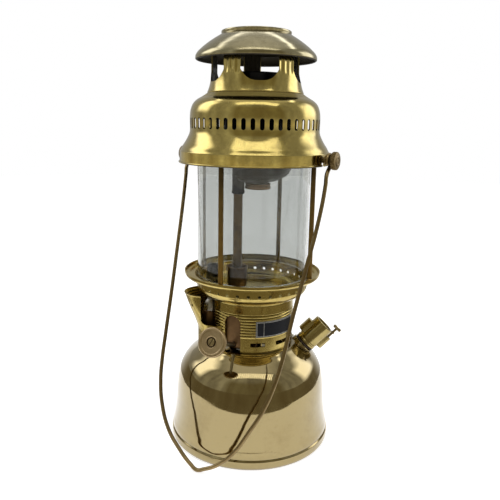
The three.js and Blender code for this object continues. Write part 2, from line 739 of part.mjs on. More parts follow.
function torchGuard() {
  const low = casingBase - tankTopRadius / 4;
  const bend = casingBase + guardBendHeight;
  const top = casingBase + guardRise;
  const inner = guardRadius - guardWall;
  const geometry = turnedGeometry([[inner, low], [guardRadius, low], [guardRadius, bend],
    [guardTopRadius, top], [guardTopRadius - guardWall, top], [inner, bend]], midSteps);
  const place = geometry.attributes.position;
  for (let i = 0; i < place.count; i += 1) {
    const share = Math.max(0, (place.getZ(i) - bend) / (top - bend));
    place.setX(i, place.getX(i) + guardPlace[0] + guardLean[0] * share);
    place.setY(i, place.getY(i) + guardPlace[1] + guardLean[1] * share);
  }
  const sill = casingBase + guardSillHeight;
  const far = tankRadius;
  const window = new THREE.BoxGeometry(far, far * 2, top - sill + overrun);
  window.translate(far / 2 - casingRadius - guardPanelMargin, 0, (top + sill + overrun) / 2);
  const core = bar(casingRadius + clearance, low - overrun, casingTop + overrun, wideSteps);
  const cone = turned(filledProfile(galleryOutline(), clearance), galleryHoleCount);
  const slotLow = casingBase + leverRise - leverRadius - clearance * 2;
  const slot = new THREE.BoxGeometry((leverRadius + clearance * 2) * 2, leverLength,
    sill + overrun - slotLow);
  slot.translate(torchFoot[0], torchFoot[1] + leverLength / 2, (sill + overrun + slotLow) / 2);
  const guard = toSolid(geometry).subtract(toSolid(window)).subtract(core).subtract(cone)
    .subtract(toSolid(tankEnvelope())).subtract(toSolid(slot));
  addPiece(lantern, 'torch_guard', guard, materials.polishedBrass);
}

// Gallery with its pierced band, glass seat and flange, and the floor inside it

function gallery() {
  const outline = galleryOutline();
  const inside = insetOutline(outline, galleryWall);
  const bandTop = galleryShares.length;
  const seatRadius = galleryBandRadius - gallerySeatWidth;
  const bandInner = galleryBandRadius - galleryWall;
  const inner = [...inside.slice(0, bandTop), [bandInner, seatTop - galleryWall],
    [seatRadius, seatTop - galleryWall], [seatRadius, seatTop], ...inside.slice(bandTop + 2)];
  const wall = turned(outline.concat(inner.reverse()), galleryHoleCount,
    galleryHoleAzimuth + 180 / galleryHoleCount);
  const holes = [];
  for (let i = 0; i < galleryHoleCount; i += 1) {
    const hole = new THREE.CylinderGeometry(galleryHoleRadius, galleryHoleRadius, galleryWall * 3, 6);
    hole.translate(0, -galleryBandRadius, galleryHoleHeight);
    holes.push(hole.rotateZ(THREE.MathUtils.degToRad(galleryHoleAzimuth + (360 * i) / galleryHoleCount)));
  }
  const [windowStart, windowEnd] = torchWindowAzimuths;
  const window = sector(windowStart, windowEnd + torchWindowSpreadAzimuth, galleryBandRadius + overrun,
    galleryBase - overrun, galleryBase + galleryHeight * torchWindowShare);
  addPiece(lantern, 'gallery', wall.subtract(toSolid(mergeGeometries(holes))).subtract(window),
    materials.polishedBrass);

  const floorRadius = bandInner - clearance * 4;
  const floor = bar(floorRadius, galleryFloorBase, galleryFloorTop, galleryHoleCount);
  const tubeHole = toSolid(moved(turnedGeometry([[0, galleryFloorBase - overrun],
    [vaporizerRadius + clearance,
    galleryFloorBase - overrun], [vaporizerRadius + clearance, galleryFloorTop + overrun],
  [0, galleryFloorTop + overrun]], smallSteps), ...vaporizerPlace));
  const torchHole = solidFromFrame(turnedGeometry([[0, 0], [torchHeadRadius + clearance * 2, 0],
    [torchHeadRadius + clearance * 2, torchHeight], [0, torchHeight]], smallSteps), torchFrame);
  addPiece(lantern, 'gallery_floor', floor.subtract(tubeHole).subtract(torchHole), materials.polishedBrass);
}

function cage() {
  rodAzimuths.forEach((azimuth, i) => {
    const rod = addPiece(lantern, `cage_rod_${i + 1}`, bar(rodRadius, 0, rodHeight, 10), materials.darkBrass);
    rod.position.set(...polar(rodCircle, azimuth), rodBase);
  });
  addPiece(lantern, 'cage_top_ring', pipe(cageRingOuter, cageRingInner, cageRingBase, cageRingTop, wideSteps),
    materials.darkBrass);
}

function glassChimney() {
  addPiece(lantern, 'glass_chimney', pipe(glassRadius, glassRadius - glassWall, glassBase,
    chimneyBase - clearance, wideSteps), materials.glass);
}

// Hood with its slots and the notches that let it lift off the studs

function hood() {
  const outline = hoodOutline(hoodShares);
  const [footRadius, footHeight] = outline[outline.length - 1];
  const spigot = footRadius - spigotInset;
  outline.push([spigot, footHeight], [spigot, footHeight + spigotHeight]);
  const facet = 180 / slotCount;
  const shell = turned(shellProfile(outline, hoodWall), slotCount, slotAzimuth + facet);
  const bandRadius = outline[slotBandRow][0];
  const cuts = [];
  for (let i = 0; i < slotCount; i += 1) {
    const slot = new THREE.BoxGeometry(slotWidth, hoodWall * 5, slotHeight);
    slot.translate(0, -bandRadius, hoodBase + slotRise);
    cuts.push(slot.rotateZ(THREE.MathUtils.degToRad(slotAzimuth + (360 * i) / slotCount)));
  }
  const notchTop = pivotHeight + studRadius + clearance;
  [pivotAzimuth, pivotAzimuth + 180].forEach((azimuth) => {
    const notch = new THREE.BoxGeometry((studRadius + clearance) * 2, hoodRadius / 4,
      notchTop - hoodBase + overrun);
    notch.translate(0, -hoodRadius, (notchTop + hoodBase - overrun) / 2);
    cuts.push(notch.rotateZ(THREE.MathUtils.degToRad(azimuth)));
  });
  addPiece(lantern, 'hood', shell.subtract(toSolid(mergeGeometries(cuts))), materials.polishedBrass);
}

// Neck of the hood with its windows, and the cowl on it

function neckAndCowl() {
  const cowlInside = insetOutline(cowlOutline(), hoodWall);
  const [footRadius, footHeight] = hoodOutline(hoodShares).pop();
  const neckFoot = footHeight + clearance;
  const outline = [[footRadius, neckFoot], [footRadius, neckFoot + hoodWall], ...hoodOutline(neckShares)];
  const neckRadius = outline[outline.length - 1][0];
  outline.push([neckRadius, heightOnOutline(cowlInside, neckRadius) - clearance]);
  const cuts = [];
  const windowShape = new THREE.Shape();
  const half = windowWidth / 2;
  windowShape.moveTo(-half, windowSag);
  windowShape.lineTo(-half / 2, windowSag / 4);
  windowShape.lineTo(0, 0);
  windowShape.lineTo(half / 2, windowSag / 4);
  windowShape.lineTo(half, windowSag);
  windowShape.lineTo(half, windowHeight);
  windowShape.lineTo(-half, windowHeight);
  windowShape.closePath();
  for (let i = 0; i < windowCount; i += 1) {
    const window = radialCut(windowShape, windowAzimuth + (360 * i) / windowCount, neckRadius - hoodWall * 8,
      neckRadius + overrun);
    cuts.push(moved(window, 0, 0, hoodBase + windowRise));
  }
  addPiece(lantern, 'hood_neck', turned(shellProfile(outline, hoodWall), wideSteps)
    .subtract(toSolid(mergeGeometries(cuts))), materials.polishedBrass);

  const collar = cowlOutline();
  const collarTop = collar[collar.length - 1][1];
  const lip = cowlCollarRadius - hoodWall;
  const cap = [[lip, collarTop], [lip, collarTop - cowlTopDepth], [0, collarTop - cowlTopDepth]];
  const underside = insetOutline(collar, hoodWall).slice(0, -1);
  const ceiling = collarTop - cowlTopDepth - hoodWall;
  const inner = [...underside, [lip, ceiling], [0, ceiling]];
  addPiece(lantern, 'cowl', turned([...collar, ...cap].reverse().concat(inner), wideSteps),
    materials.polishedBrass);
}

// Bail: one wire with an eye at each end, held on its studs by knurled nuts

function bail() {
  const frame = tiltedFrame(lantern, [0, 0, pivotHeight], pivotAzimuth - 90, bailTilt);
  const side = (shares, sign) => shares.map(([across, down]) => new THREE.Vector3(down * bailDrop,
    across * bailReach * sign, 0));
  const points = [...side(bailRightShares, 1), new THREE.Vector3(bailDrop, 0, 0),
    ...side(bailLeftShares, -1).reverse()];
  const section = new THREE.Shape();
  section.absarc(0, 0, bailWireRadius, 0, Math.PI * 2, false);
  const wire = new THREE.ExtrudeGeometry(section, { steps: 44, curveSegments: 5, bevelEnabled: false,
    extrudePath: new THREE.CatmullRomCurve3(points, false, 'centripetal') });
  let solid = toSolid(wire);
  [1, -1].forEach((sign) => {
    const eye = turnedGeometry([[0, -bailWireRadius], [bailEyeRadius, -bailWireRadius],
      [bailEyeRadius, bailWireRadius], [0, bailWireRadius]], smallSteps);
    eye.rotateX(Math.PI / 2).translate(0, sign * bailReach, 0);
    const bore = new THREE.CylinderGeometry(studRadius + clearance, studRadius + clearance,
      (bailWireRadius + overrun) * 2, smallSteps);
    bore.translate(0, sign * bailReach, 0);
    solid = solid.add(toSolid(eye)).subtract(toSolid(bore));
  });
  addPiece(frame, 'bail', solid, materials.darkBrass);
}

function pivots() {
  const eyeInner = bailReach - bailWireRadius - clearance;
  const nutBase = bailReach + bailWireRadius + clearance;
  const collarBase = hoodRadius + clearance;
  const studBase = cageRingOuter + clearance;
  const studTop = nutBase + nutHeight;
  [['right', pivotAzimuth], ['left', pivotAzimuth + 180]].forEach(([side, azimuth]) => {
    const frame = tiltedFrame(lantern, [0, 0, pivotHeight], azimuth, 0);
    addPiece(frame, `pivot_stud_${side}`, turned([[0, studBase], [studRadius, studBase],
      [studRadius, collarBase],
      [studCollarRadius, collarBase], [studCollarRadius, eyeInner], [studRadius, eyeInner],
      [studRadius, studTop], [0, studTop]], smallSteps), materials.darkBrass);
    const knurl = new THREE.Shape();
    for (let i = 0; i < knurlCount * 2; i += 1) {
      const radius = nutRadius - (i % 2) * knurlDepth;
      const angle = (Math.PI * i) / knurlCount;
      const point = [radius * Math.cos(angle), radius * Math.sin(angle)];
      if (i === 0) knurl.moveTo(...point);
      else knurl.lineTo(...point);
    }
    knurl.closePath();
    const body = toSolid(moved(new THREE.ExtrudeGeometry(knurl, { depth: nutHeight, bevelEnabled: false }),
      0, 0, nutBase));
    addPiece(frame, `knurled_nut_${side}`, body.subtract(bar(studRadius + clearance, nutBase - overrun,
      studTop + overrun)), materials.darkBrass);
  });
}

// Valve block and vaporizer, on the well floor of the tank

function vaporizer() {
  const stubBase = blockBase - blockStubLength;
  const edge = blockRadius - clearance * 3;
  const block = toSolid(moved(turnedGeometry([[0, stubBase], [blockStubRadius, stubBase],
    [blockStubRadius, blockBase], [blockRadius, blockBase], [blockRadius, blockTop - clearance * 3],
    [edge, blockTop], [0, blockTop]], midSteps), ...blockPlace));
  const spindleBore = solidFromFrame(turnedGeometry([[0, -spindleLength - clearance],
    [spindleRadius + clearance,
    -spindleLength - clearance], [spindleRadius + clearance, 0], [0, 0]], smallSteps), wheelFrame);
  const needleRoom = needleRadius + clearance;
  const needleFoot = blockTop - blockHeight / 2;
  const needleBore = toSolid(moved(turnedGeometry([[0, needleFoot], [needleRoom, needleFoot],
    [needleRoom, blockTop + overrun], [0, blockTop + overrun]], smallSteps), ...vaporizerPlace));
  addPiece(lantern, 'valve_block', block.subtract(spindleBore).subtract(needleBore), materials.copperBrass);

  const dipTop = stubBase - clearance;
  const dip = addPiece(lantern, 'dip_tube', pipe(dipTubeRadius, dipTubeRadius - dipTubeWall, dipTubeLift,
    dipTop), materials.darkBrass);
  dip.position.set(...blockPlace, 0);

  const column = new THREE.Group();
  column.position.set(...vaporizerPlace, 0);
  lantern.add(column);
  addPiece(column, 'vaporizer_tube', pipe(vaporizerRadius, vaporizerBoreRadius, vaporizerBase, vaporizerTop,
    midSteps), materials.darkBrass);
  const headBase = vaporizerTop - vaporizerHeadOverlap;
  addPiece(column, 'vaporizer_head', pipe(vaporizerHeadRadius, vaporizerRadius + clearance, headBase,
    headBase + vaporizerHeadLength, midSteps), materials.blackSteel);
  const jetTop = jetBase + jetLength;
  addPiece(column, 'jet', turned([[jetBoreRadius, jetBase], [jetRadius, jetBase],
    [jetRadius, jetTop - jetRadius / 2],
    [jetBoreRadius * 2, jetTop], [jetBoreRadius, jetTop]], 6), materials.polishedBrass);
  const shoulder = jetBase - needleTipLength / 2;
  const needleLow = needleFoot + needleStroke;
  addPiece(column, 'cleaning_needle', turned([[0, needleLow], [needleRadius, needleLow],
    [needleRadius, shoulder - needleTipLength], [needleTipRadius, shoulder - needleTipLength / 2],
    [needleTipRadius, shoulder + needleTipLength], [0, shoulder + needleTipLength]], 8),
    materials.brightSteel);
  const cupBase = galleryFloorTop + clearance;
  const cupBore = vaporizerRadius + clearance;
  const cupFoot = cupRadius * cupFootShare;
  addPiece(column, 'preheat_cup', turned([[cupBore, cupBase], [cupFoot, cupBase],
    [cupRadius, cupBase + cupHeight], [cupRadius - cupWall, cupBase + cupHeight],
    [cupFoot - cupWall, cupBase + cupWall], [cupBore, cupBase + cupWall]], midSteps),
  materials.copperBrass);
}

// Control wheel on its spindle, which leaves through the arch

function control() {
  const back = -wheelThickness / 2;
  const front = wheelThickness / 2;
  const bore = spindleRadius + clearance;
  const rim = wheelRadius - wheelThickness / 5;
  addPiece(wheelFrame, 'control_wheel', turned([[bore, back - wheelHubHeight], [wheelHubRadius,
    back - wheelHubHeight], [wheelHubRadius, back], [rim, back], [wheelRadius, back + wheelThickness / 5],
  [wheelRadius, front - wheelThickness / 5], [rim, front], [bore, front]], 24),
  materials.darkBrass);
  const screwBase = front + clearance;
  addPiece(wheelFrame, 'wheel_screw', turned([[0, screwBase], [wheelScrewRadius, screwBase],
    [wheelScrewRadius, screwBase + wheelHubHeight],
    [wheelScrewRadius * wheelScrewCrownShare, screwBase + wheelScrewHeight],
    [0, screwBase + wheelScrewHeight]], midSteps), materials.copperBrass);
  addPiece(wheelFrame, 'control_spindle', bar(spindleRadius, -spindleLength, front), materials.brightSteel);
  const glandBase = -glandFromWheel - glandLength;
  const hexagon = bar(glandRadius, glandBase, -glandFromWheel, 6);
  const shaftHole = bar(bore, glandBase - overrun, overrun - glandFromWheel);
  const blockRoom = turnedGeometry([[0, blockBase], [blockRadius + clearance, blockBase],
    [blockRadius + clearance, blockTop + overrun], [0, blockTop + overrun]], midSteps);
  addPiece(wheelFrame, 'spindle_gland', hexagon.subtract(shaftHole)
    .subtract(solidInFrame(moved(blockRoom, ...blockPlace), wheelFrame)), materials.brightSteel);
}

// Preheating torch, which leans in from the tank shoulder towards the vaporizer

function torch() {
  const footDepth = tankTopRadius / 4;
  const body = torchShares.map(([across, up]) => [across * torchRadius, up * torchHeight]);
  const low = body[0][0];
  body[0] = [low, -footDepth];
  const bodyTop = body[body.length - 1][1];
  const solid = turned([[0, -footDepth], ...body, [0, bodyTop]], midSteps);
  addPiece(torchFrame, 'torch_body', solid.subtract(solidInFrame(tankEnvelope(), torchFrame)),
    materials.copperBrass);
  const headBase = bodyTop + clearance;
  const head = torchHeadShares.map(([across, up]) => [across * torchHeadRadius,
    headBase + up * torchHeadHeight]);
  const cupFloor = head[head.length - 1][1];
  addPiece(torchFrame, 'torch_head', turned([[0, headBase], ...head, [0, cupFloor]], midSteps),
    materials.blackSteel);

  const lever = new THREE.Group();
  lever.position.set(torchFoot[0], torchFoot[1] + torchRadius + leverRadius + clearance * 2,
    casingBase + leverRise);
  lantern.add(lever);
  const arm = new THREE.CylinderGeometry(leverRadius, leverRadius, leverLength, smallSteps);
  arm.translate(0, leverLength / 2, 0);
  const ball = new THREE.SphereGeometry(leverRadius, smallSteps, smallSteps / 2);
  const knob = new THREE.SphereGeometry(leverKnobRadius, smallSteps, smallSteps / 2);
  knob.translate(0, leverLength, 0);
  addPiece(lever, 'torch_lever', toSolid(arm).add(toSolid(ball)).add(toSolid(knob)), materials.brightSteel);
}

// Burner: heat shield, mixing chamber, mixing tube, ceramic nozzle and the inner chimney that carries them

function burner() {
  const flangeTop = chimneyBase + chimneyWall;
  const chimneyTop = chimneyBase + chimneyRise;
  const innerEdge = shieldRadius + clearance;
  const cone = chimneyBase + chimneyRise / 2;
  const step = chimneySeatRadius + chimneyFlangeStep;
  addPiece(lantern, 'inner_chimney', turned([[innerEdge, chimneyBase], [chimneySeatRadius, chimneyBase],
    [step, chimneyBase + chimneyFlangeStep], [chimneyFlangeRadius, chimneyBase + chimneyFlangeStep],
    [chimneyFlangeRadius, flangeTop + chimneyFlangeStep], [step - chimneyWall / 2,
    flangeTop + chimneyFlangeStep],
    [chimneySeatRadius - chimneyWall / 2, flangeTop], [innerEdge + chimneyWall, flangeTop],
    [chimneyRadius, cone],
    [chimneyRadius, chimneyTop], [chimneyRadius - chimneyWall, chimneyTop],
    [chimneyRadius - chimneyWall, cone]],
  ringSteps), materials.blackSteel);

  const bowl = shieldShares.map(([across, up]) => [across * shieldRadius, chamberBase + up * shieldDepth]);
  const opening = sector(...shieldOpening, shieldRadius + overrun, chamberBase - overrun, chimneyTop);
  const hole = turnedGeometry([[0, chamberBase - overrun], [chamberRadius + clearance, chamberBase - overrun],
    [chamberRadius + clearance, chimneyTop], [0, chimneyTop]], midSteps);
  addPiece(lantern, 'heat_shield', turned(shellProfile(bowl, chimneyWall), ringSteps)
    .subtract(opening).subtract(toSolid(moved(hole, ...burnerPlace))), materials.blackSteel);

  const centre = new THREE.Group();
  const towardsJet = [vaporizerPlace[0] - burnerPlace[0], vaporizerPlace[1] - burnerPlace[1]];
  centre.position.set(...burnerPlace, 0);
  centre.rotation.z = Math.atan2(towardsJet[1], towardsJet[0]);
  lantern.add(centre);

  const chamberTop = chamberBase + chamberHeight;
  const tubeFoot = chamberTop - mixingTubeOverlap;
  const tubeRoom = mixingTubeRadius + clearance;
  addPiece(centre, 'mixing_chamber', pipe(chamberRadius, tubeRoom, chamberBase, chamberTop, midSteps),
    materials.blackSteel);

  const mouth = vaporizerTop - vaporizerHeadOverlap + vaporizerHeadLength + clearance;
  const bend = mouth + mixingTubeRise;
  const reach = Math.hypot(...towardsJet);
  const route = new THREE.CurvePath();
  const start = new THREE.Vector3(reach, 0, mouth);
  const high = new THREE.Vector3(reach, 0, bend);
  const over = new THREE.Vector3(0, 0, bend);
  route.add(new THREE.LineCurve3(start, high));
  const arcShare = 4 / 3 * (reach / 2);
  route.add(new THREE.CubicBezierCurve3(high, new THREE.Vector3(reach, 0, bend + arcShare),
    new THREE.Vector3(0, 0, bend + arcShare), over));
  route.add(new THREE.LineCurve3(over, new THREE.Vector3(0, 0, tubeFoot)));
  const ring = new THREE.Shape();
  ring.absarc(0, 0, mixingTubeRadius, 0, Math.PI * 2, false);
  const tubeBore = new THREE.Path();
  tubeBore.absarc(0, 0, mixingTubeRadius - mixingTubeWall, 0, Math.PI * 2, true);
  ring.holes.push(tubeBore);
  const tube = new THREE.ExtrudeGeometry(ring, { steps: 16, curveSegments: 5, bevelEnabled: false,
    extrudePath: route });
  addPiece(centre, 'mixing_tube', toSolid(tube), materials.blackSteel);

  const ringTop = chamberBase - clearance;
  const ringBase = ringTop - nozzleRingHeight;
  const ceramicRoom = ceramicRadius + clearance;
  addPiece(centre, 'nozzle_ring', pipe(nozzleRingRadius, ceramicRoom, ringBase, ringTop, midSteps),
    materials.copperBrass);
  const [crownAcross, crownDown] = ceramicCrownShares;
  addPiece(centre, 'ceramic_nozzle', turned([[0, ringBase - ceramicDomeDepth],
    [ceramicRadius * crownAcross, ringBase - ceramicDomeDepth * crownDown],
    [ceramicRadius, ringBase + ceramicDomeDepth], [ceramicRadius, ringTop], [tubeRoom, ringTop],
    [tubeRoom, ringBase + ceramicDomeDepth * 2], [0, ringBase + ceramicDomeDepth * 2]], midSteps),
  materials.ceramic);
}

// Frames that pieces share, then the pieces

const fillerFrame = tiltedFrame(lantern,
  shoulderPlace(fillerAzimuth, fillerTilt, fillerNeckRadius, fillerGap, gasketRadius),
  fillerAzimuth, fillerTilt);
const pumpFrame = tiltedFrame(lantern,
  shoulderPlace(pumpAzimuth, pumpTilt, pumpNeckRadius, pumpGap, 0), pumpAzimuth, pumpTilt);
const wheelFrame = tiltedFrame(lantern, [...polar(wheelReach, wheelAzimuth), tankHeight + wheelRise],
  wheelAzimuth, wheelTilt);
const torchSlope = [torchTop[0] - torchFoot[0], torchTop[1] - torchFoot[1]];
const torchAzimuth = THREE.MathUtils.radToDeg(Math.atan2(torchSlope[0], -torchSlope[1]));
const torchTilt = THREE.MathUtils.radToDeg(Math.atan2(torchHeight, Math.hypot(...torchSlope)));
const torchFrame = tiltedFrame(lantern, [...torchFoot, tankHeight], torchAzimuth, torchTilt);

buildTank();
fillerNeckAndCap();
pump();
casing();
torchGuard();
gallery();
cage();
glassChimney();
hood();
neckAndCowl();
bail();
pivots();
vaporizer();
control();
torch();
burner();

export default lantern;
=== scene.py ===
import json
import math
import bmesh
import bpy
from mathutils import Matrix, Vector


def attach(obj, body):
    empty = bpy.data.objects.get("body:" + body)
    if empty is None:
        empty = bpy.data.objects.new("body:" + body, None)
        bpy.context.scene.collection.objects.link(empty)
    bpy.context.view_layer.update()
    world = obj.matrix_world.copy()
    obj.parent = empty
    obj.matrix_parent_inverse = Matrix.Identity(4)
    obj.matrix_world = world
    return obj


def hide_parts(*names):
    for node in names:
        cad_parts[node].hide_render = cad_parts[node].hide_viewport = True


# Kerosene pressure lantern: brass shells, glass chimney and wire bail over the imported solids.
# Shapes are drawn in millimetres, +Z up, and become metres when a piece is finished.
# An azimuth is in degrees from the front (-Y) towards the right (+X).

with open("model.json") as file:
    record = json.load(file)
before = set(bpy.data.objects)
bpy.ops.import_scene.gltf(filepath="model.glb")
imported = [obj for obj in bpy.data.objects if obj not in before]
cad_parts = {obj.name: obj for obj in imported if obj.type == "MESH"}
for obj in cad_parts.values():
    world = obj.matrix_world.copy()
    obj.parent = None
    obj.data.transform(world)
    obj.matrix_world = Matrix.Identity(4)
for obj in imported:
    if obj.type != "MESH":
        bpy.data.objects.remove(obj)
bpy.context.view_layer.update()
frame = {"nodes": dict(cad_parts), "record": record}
millimetre = 0.001


# Sockets and finishes

def combining(operation, swapped=False):
    def combined(self, other):
        return self.maths(operation, *((other, self) if swapped else (self, other)))
    return combined


class Socket:
    # an output of a node, with plain arithmetic on it
    def __init__(self, tree, output):
        self.tree = tree
        self.output = output

    def maths(self, operation, *values):
        node = self.tree.nodes.new("ShaderNodeMath")
        node.operation = operation
        for slot, value in zip(node.inputs, values):
            if isinstance(value, Socket):
                self.tree.links.new(value.output, slot)
            else:
                slot.default_value = value
        return Socket(self.tree, node.outputs[0])

    __add__ = combining("ADD")
    __radd__ = combining("ADD", swapped=True)
    __sub__ = combining("SUBTRACT")
    __rsub__ = combining("SUBTRACT", swapped=True)
    __mul__ = combining("MULTIPLY")
    __rmul__ = combining("MULTIPLY", swapped=True)
    __truediv__ = combining("DIVIDE")
    __gt__ = combining("GREATER_THAN")
    __lt__ = combining("LESS_THAN")
    least = combining("MINIMUM")
    most = combining("MAXIMUM")

    def __abs__(self):
        return self.maths("ABSOLUTE", self)

    def share(self):
        return self.least(1.0).most(0.0)

    def within(self, low, high, soft):
        # 1 between two values, fading out over a soft edge
        return ((self - low) / soft).share() * ((self - high) / -soft).share()


class Finish:
    # the nodes of one material or of the world
    def __init__(self, tree):
        self.tree = tree
        tree.nodes.clear()

    def node(self, kind, settings=None, output=0, **values):
        made = self.tree.nodes.new("ShaderNode" + kind)
        for name, value in (settings or {}).items():
            setattr(made, name, value)
        for name, value in values.items():
            # a socket by its name, or by its number after a plain n
            slot = made.inputs[int(name[1:])] if name[1:].isdigit() else made.inputs[name.replace("_", " ")]
            if isinstance(value, Socket):
                self.tree.links.new(value.output, slot)
            else:
                # a colour is given without its alpha
                slot.default_value = (*value, 1.0) if slot.type == "RGBA" else value
        return Socket(self.tree, made.outputs[output]) if made.outputs else None

    def spot(self):
        return self.node("TexCoord", output=3)

    def seen(self):
        # 1 for a ray from the camera, or one that glass or metal sends on
        camera, glossy, transmitted = [self.node("LightPath", output=kind) for kind in (0, 3, 6)]
        return camera.most(glossy).most(transmitted)

    def reach(self, spot, stretch=1):
        # how far a place is from the axis
        flat = self.node("Mapping", n0=spot, Scale=(1 / stretch, 1, 0))
        return self.node("VectorMath", {"operation": "LENGTH"}, 1, n0=flat)

    def azimuth(self, spot):
        # radians from the front towards the right
        return self.node("Math", {"operation": "ARCTAN2"}, n0=self.along(spot, 0),
                         n1=self.along(spot, 1) * -1)

    def along(self, vector, axis):
        return self.node("SeparateXYZ", output=axis, Vector=vector)

    def cloud(self, vector, scale, detail=3.0, roughness=0.55, stretch=(1, 1, 1)):
        drawnOut = self.node("Mapping", n0=vector, Scale=stretch)
        return self.node("TexNoise", Vector=drawnOut, Scale=scale, Detail=detail, Roughness=roughness)

    def ramp(self, value, *stops):
        made = self.node("ValToRGB", Fac=value)
        for element, (place, shade) in zip(made.output.node.color_ramp.elements, stops):
            element.position = place
            element.color = (shade, shade, shade, 1)
        return made

    def mixed(self, share, first, second):
        return self.node("Mix", {"data_type": "RGBA"}, 2, n0=share, n6=first, n7=second)

    def surface(self, bump, strength, reach, **values):
        normal = self.node("Bump", Height=bump, Strength=strength, Distance=reach)
        self.node("OutputMaterial", Surface=self.node("BsdfPrincipled", Normal=normal, **values))

    def inward(self, spot):
        # how far the surface faces the axis or down, from 0 to 1
        facing = self.node("TexCoord", output=1)
        out = self.node("VectorMath", {"operation": "NORMALIZE"},
                        n0=self.node("Mapping", n0=spot, Scale=(1, 1, 0)))
        away = self.node("VectorMath", {"operation": "DOT_PRODUCT"}, 1, n0=facing, n1=out)
        return ((away * -1).most(self.along(facing, 2) * -1) * 4 - 1.2).share()


def newFinish(name):
    material = bpy.data.materials.new(name)
    material.use_nodes = True
    return material, Finish(material.node_tree)


# tones: clean, aged, dirt and painted corner shade; wear: tarnish, gloss, dullness, polishing lines, specks
brassLooks = {
    "tank_brass": {"tones": ((0.315, 0.245, 0.108), (0.25, 0.185, 0.072), (0.11, 0.07, 0.03)),
                   "wear": (0.2, 0.04, 0.11, 0.2, 0.3), "coat": 0.7},
    "fitting_brass": {"tones": ((0.38, 0.305, 0.125), (0.22, 0.165, 0.06), (0.06, 0.04, 0.015)),
                      "wear": (0.35, 0.11, 0.28, 0.4, 0.4)},
    "collar_brass": {"tones": ((0.52, 0.405, 0.135), (0.31, 0.23, 0.065), (0.07, 0.045, 0.015)),
                     "wear": (0.35, 0.11, 0.26, 0.4, 0.5)},
    "hood_brass": {"tones": ((0.455, 0.355, 0.112), (0.27, 0.205, 0.055), (0.08, 0.05, 0.015)),
                   "wear": (0.3, 0.09, 0.22, 0.5, 0.45), "sootAndShade": 0.95, "coat": 0.3, "stepShade": (0.3515, 0.3575)},
    "cowl_brass": {"tones": ((0.37, 0.325, 0.20), (0.24, 0.205, 0.115), (0.06, 0.045, 0.025)),
                   "wear": (0.35, 0.10, 0.22, 0.4, 0.5), "sootAndShade": 0.95},
    "wire_brass": {"tones": ((0.27, 0.195, 0.09), (0.13, 0.09, 0.04), (0.04, 0.025, 0.012)),
                   "wear": (0.5, 0.24, 0.42, 0.3, 0.6)},
    "cage_brass": {"tones": ((0.44, 0.285, 0.09), (0.22, 0.14, 0.048), (0.03, 0.02, 0.01)),
                   "wear": (0.5, 0.24, 0.42, 0.3, 0.6), "burnt": (0.215, 0.31)},
    "inner_brass": {"tones": ((0.30, 0.23, 0.11), (0.17, 0.12, 0.055), (0.06, 0.04, 0.02)),
                    "wear": (0.5, 0.22, 0.42, 0.4, 0.6)},
    "wheel_brass": {"tones": ((0.46, 0.35, 0.20), (0.32, 0.23, 0.12), (0.045, 0.028, 0.015)),
                    "wear": (0.5, 0.30, 0.46, 0.6, 0.7)},
    "burnt_brass": {"tones": ((0.24, 0.145, 0.07), (0.075, 0.042, 0.024), (0.03, 0.018, 0.014)),
                    "wear": (0.5, 0.24, 0.46, 0.3, 0.8)},
    "vaporizer_brass": {"tones": ((0.30, 0.19, 0.07), (0.085, 0.056, 0.028), (0.02, 0.016, 0.014)),
                        "wear": (0.5, 0.26, 0.46, 0.2, 0.8), "burnt": (0.16, 0.34)},
}


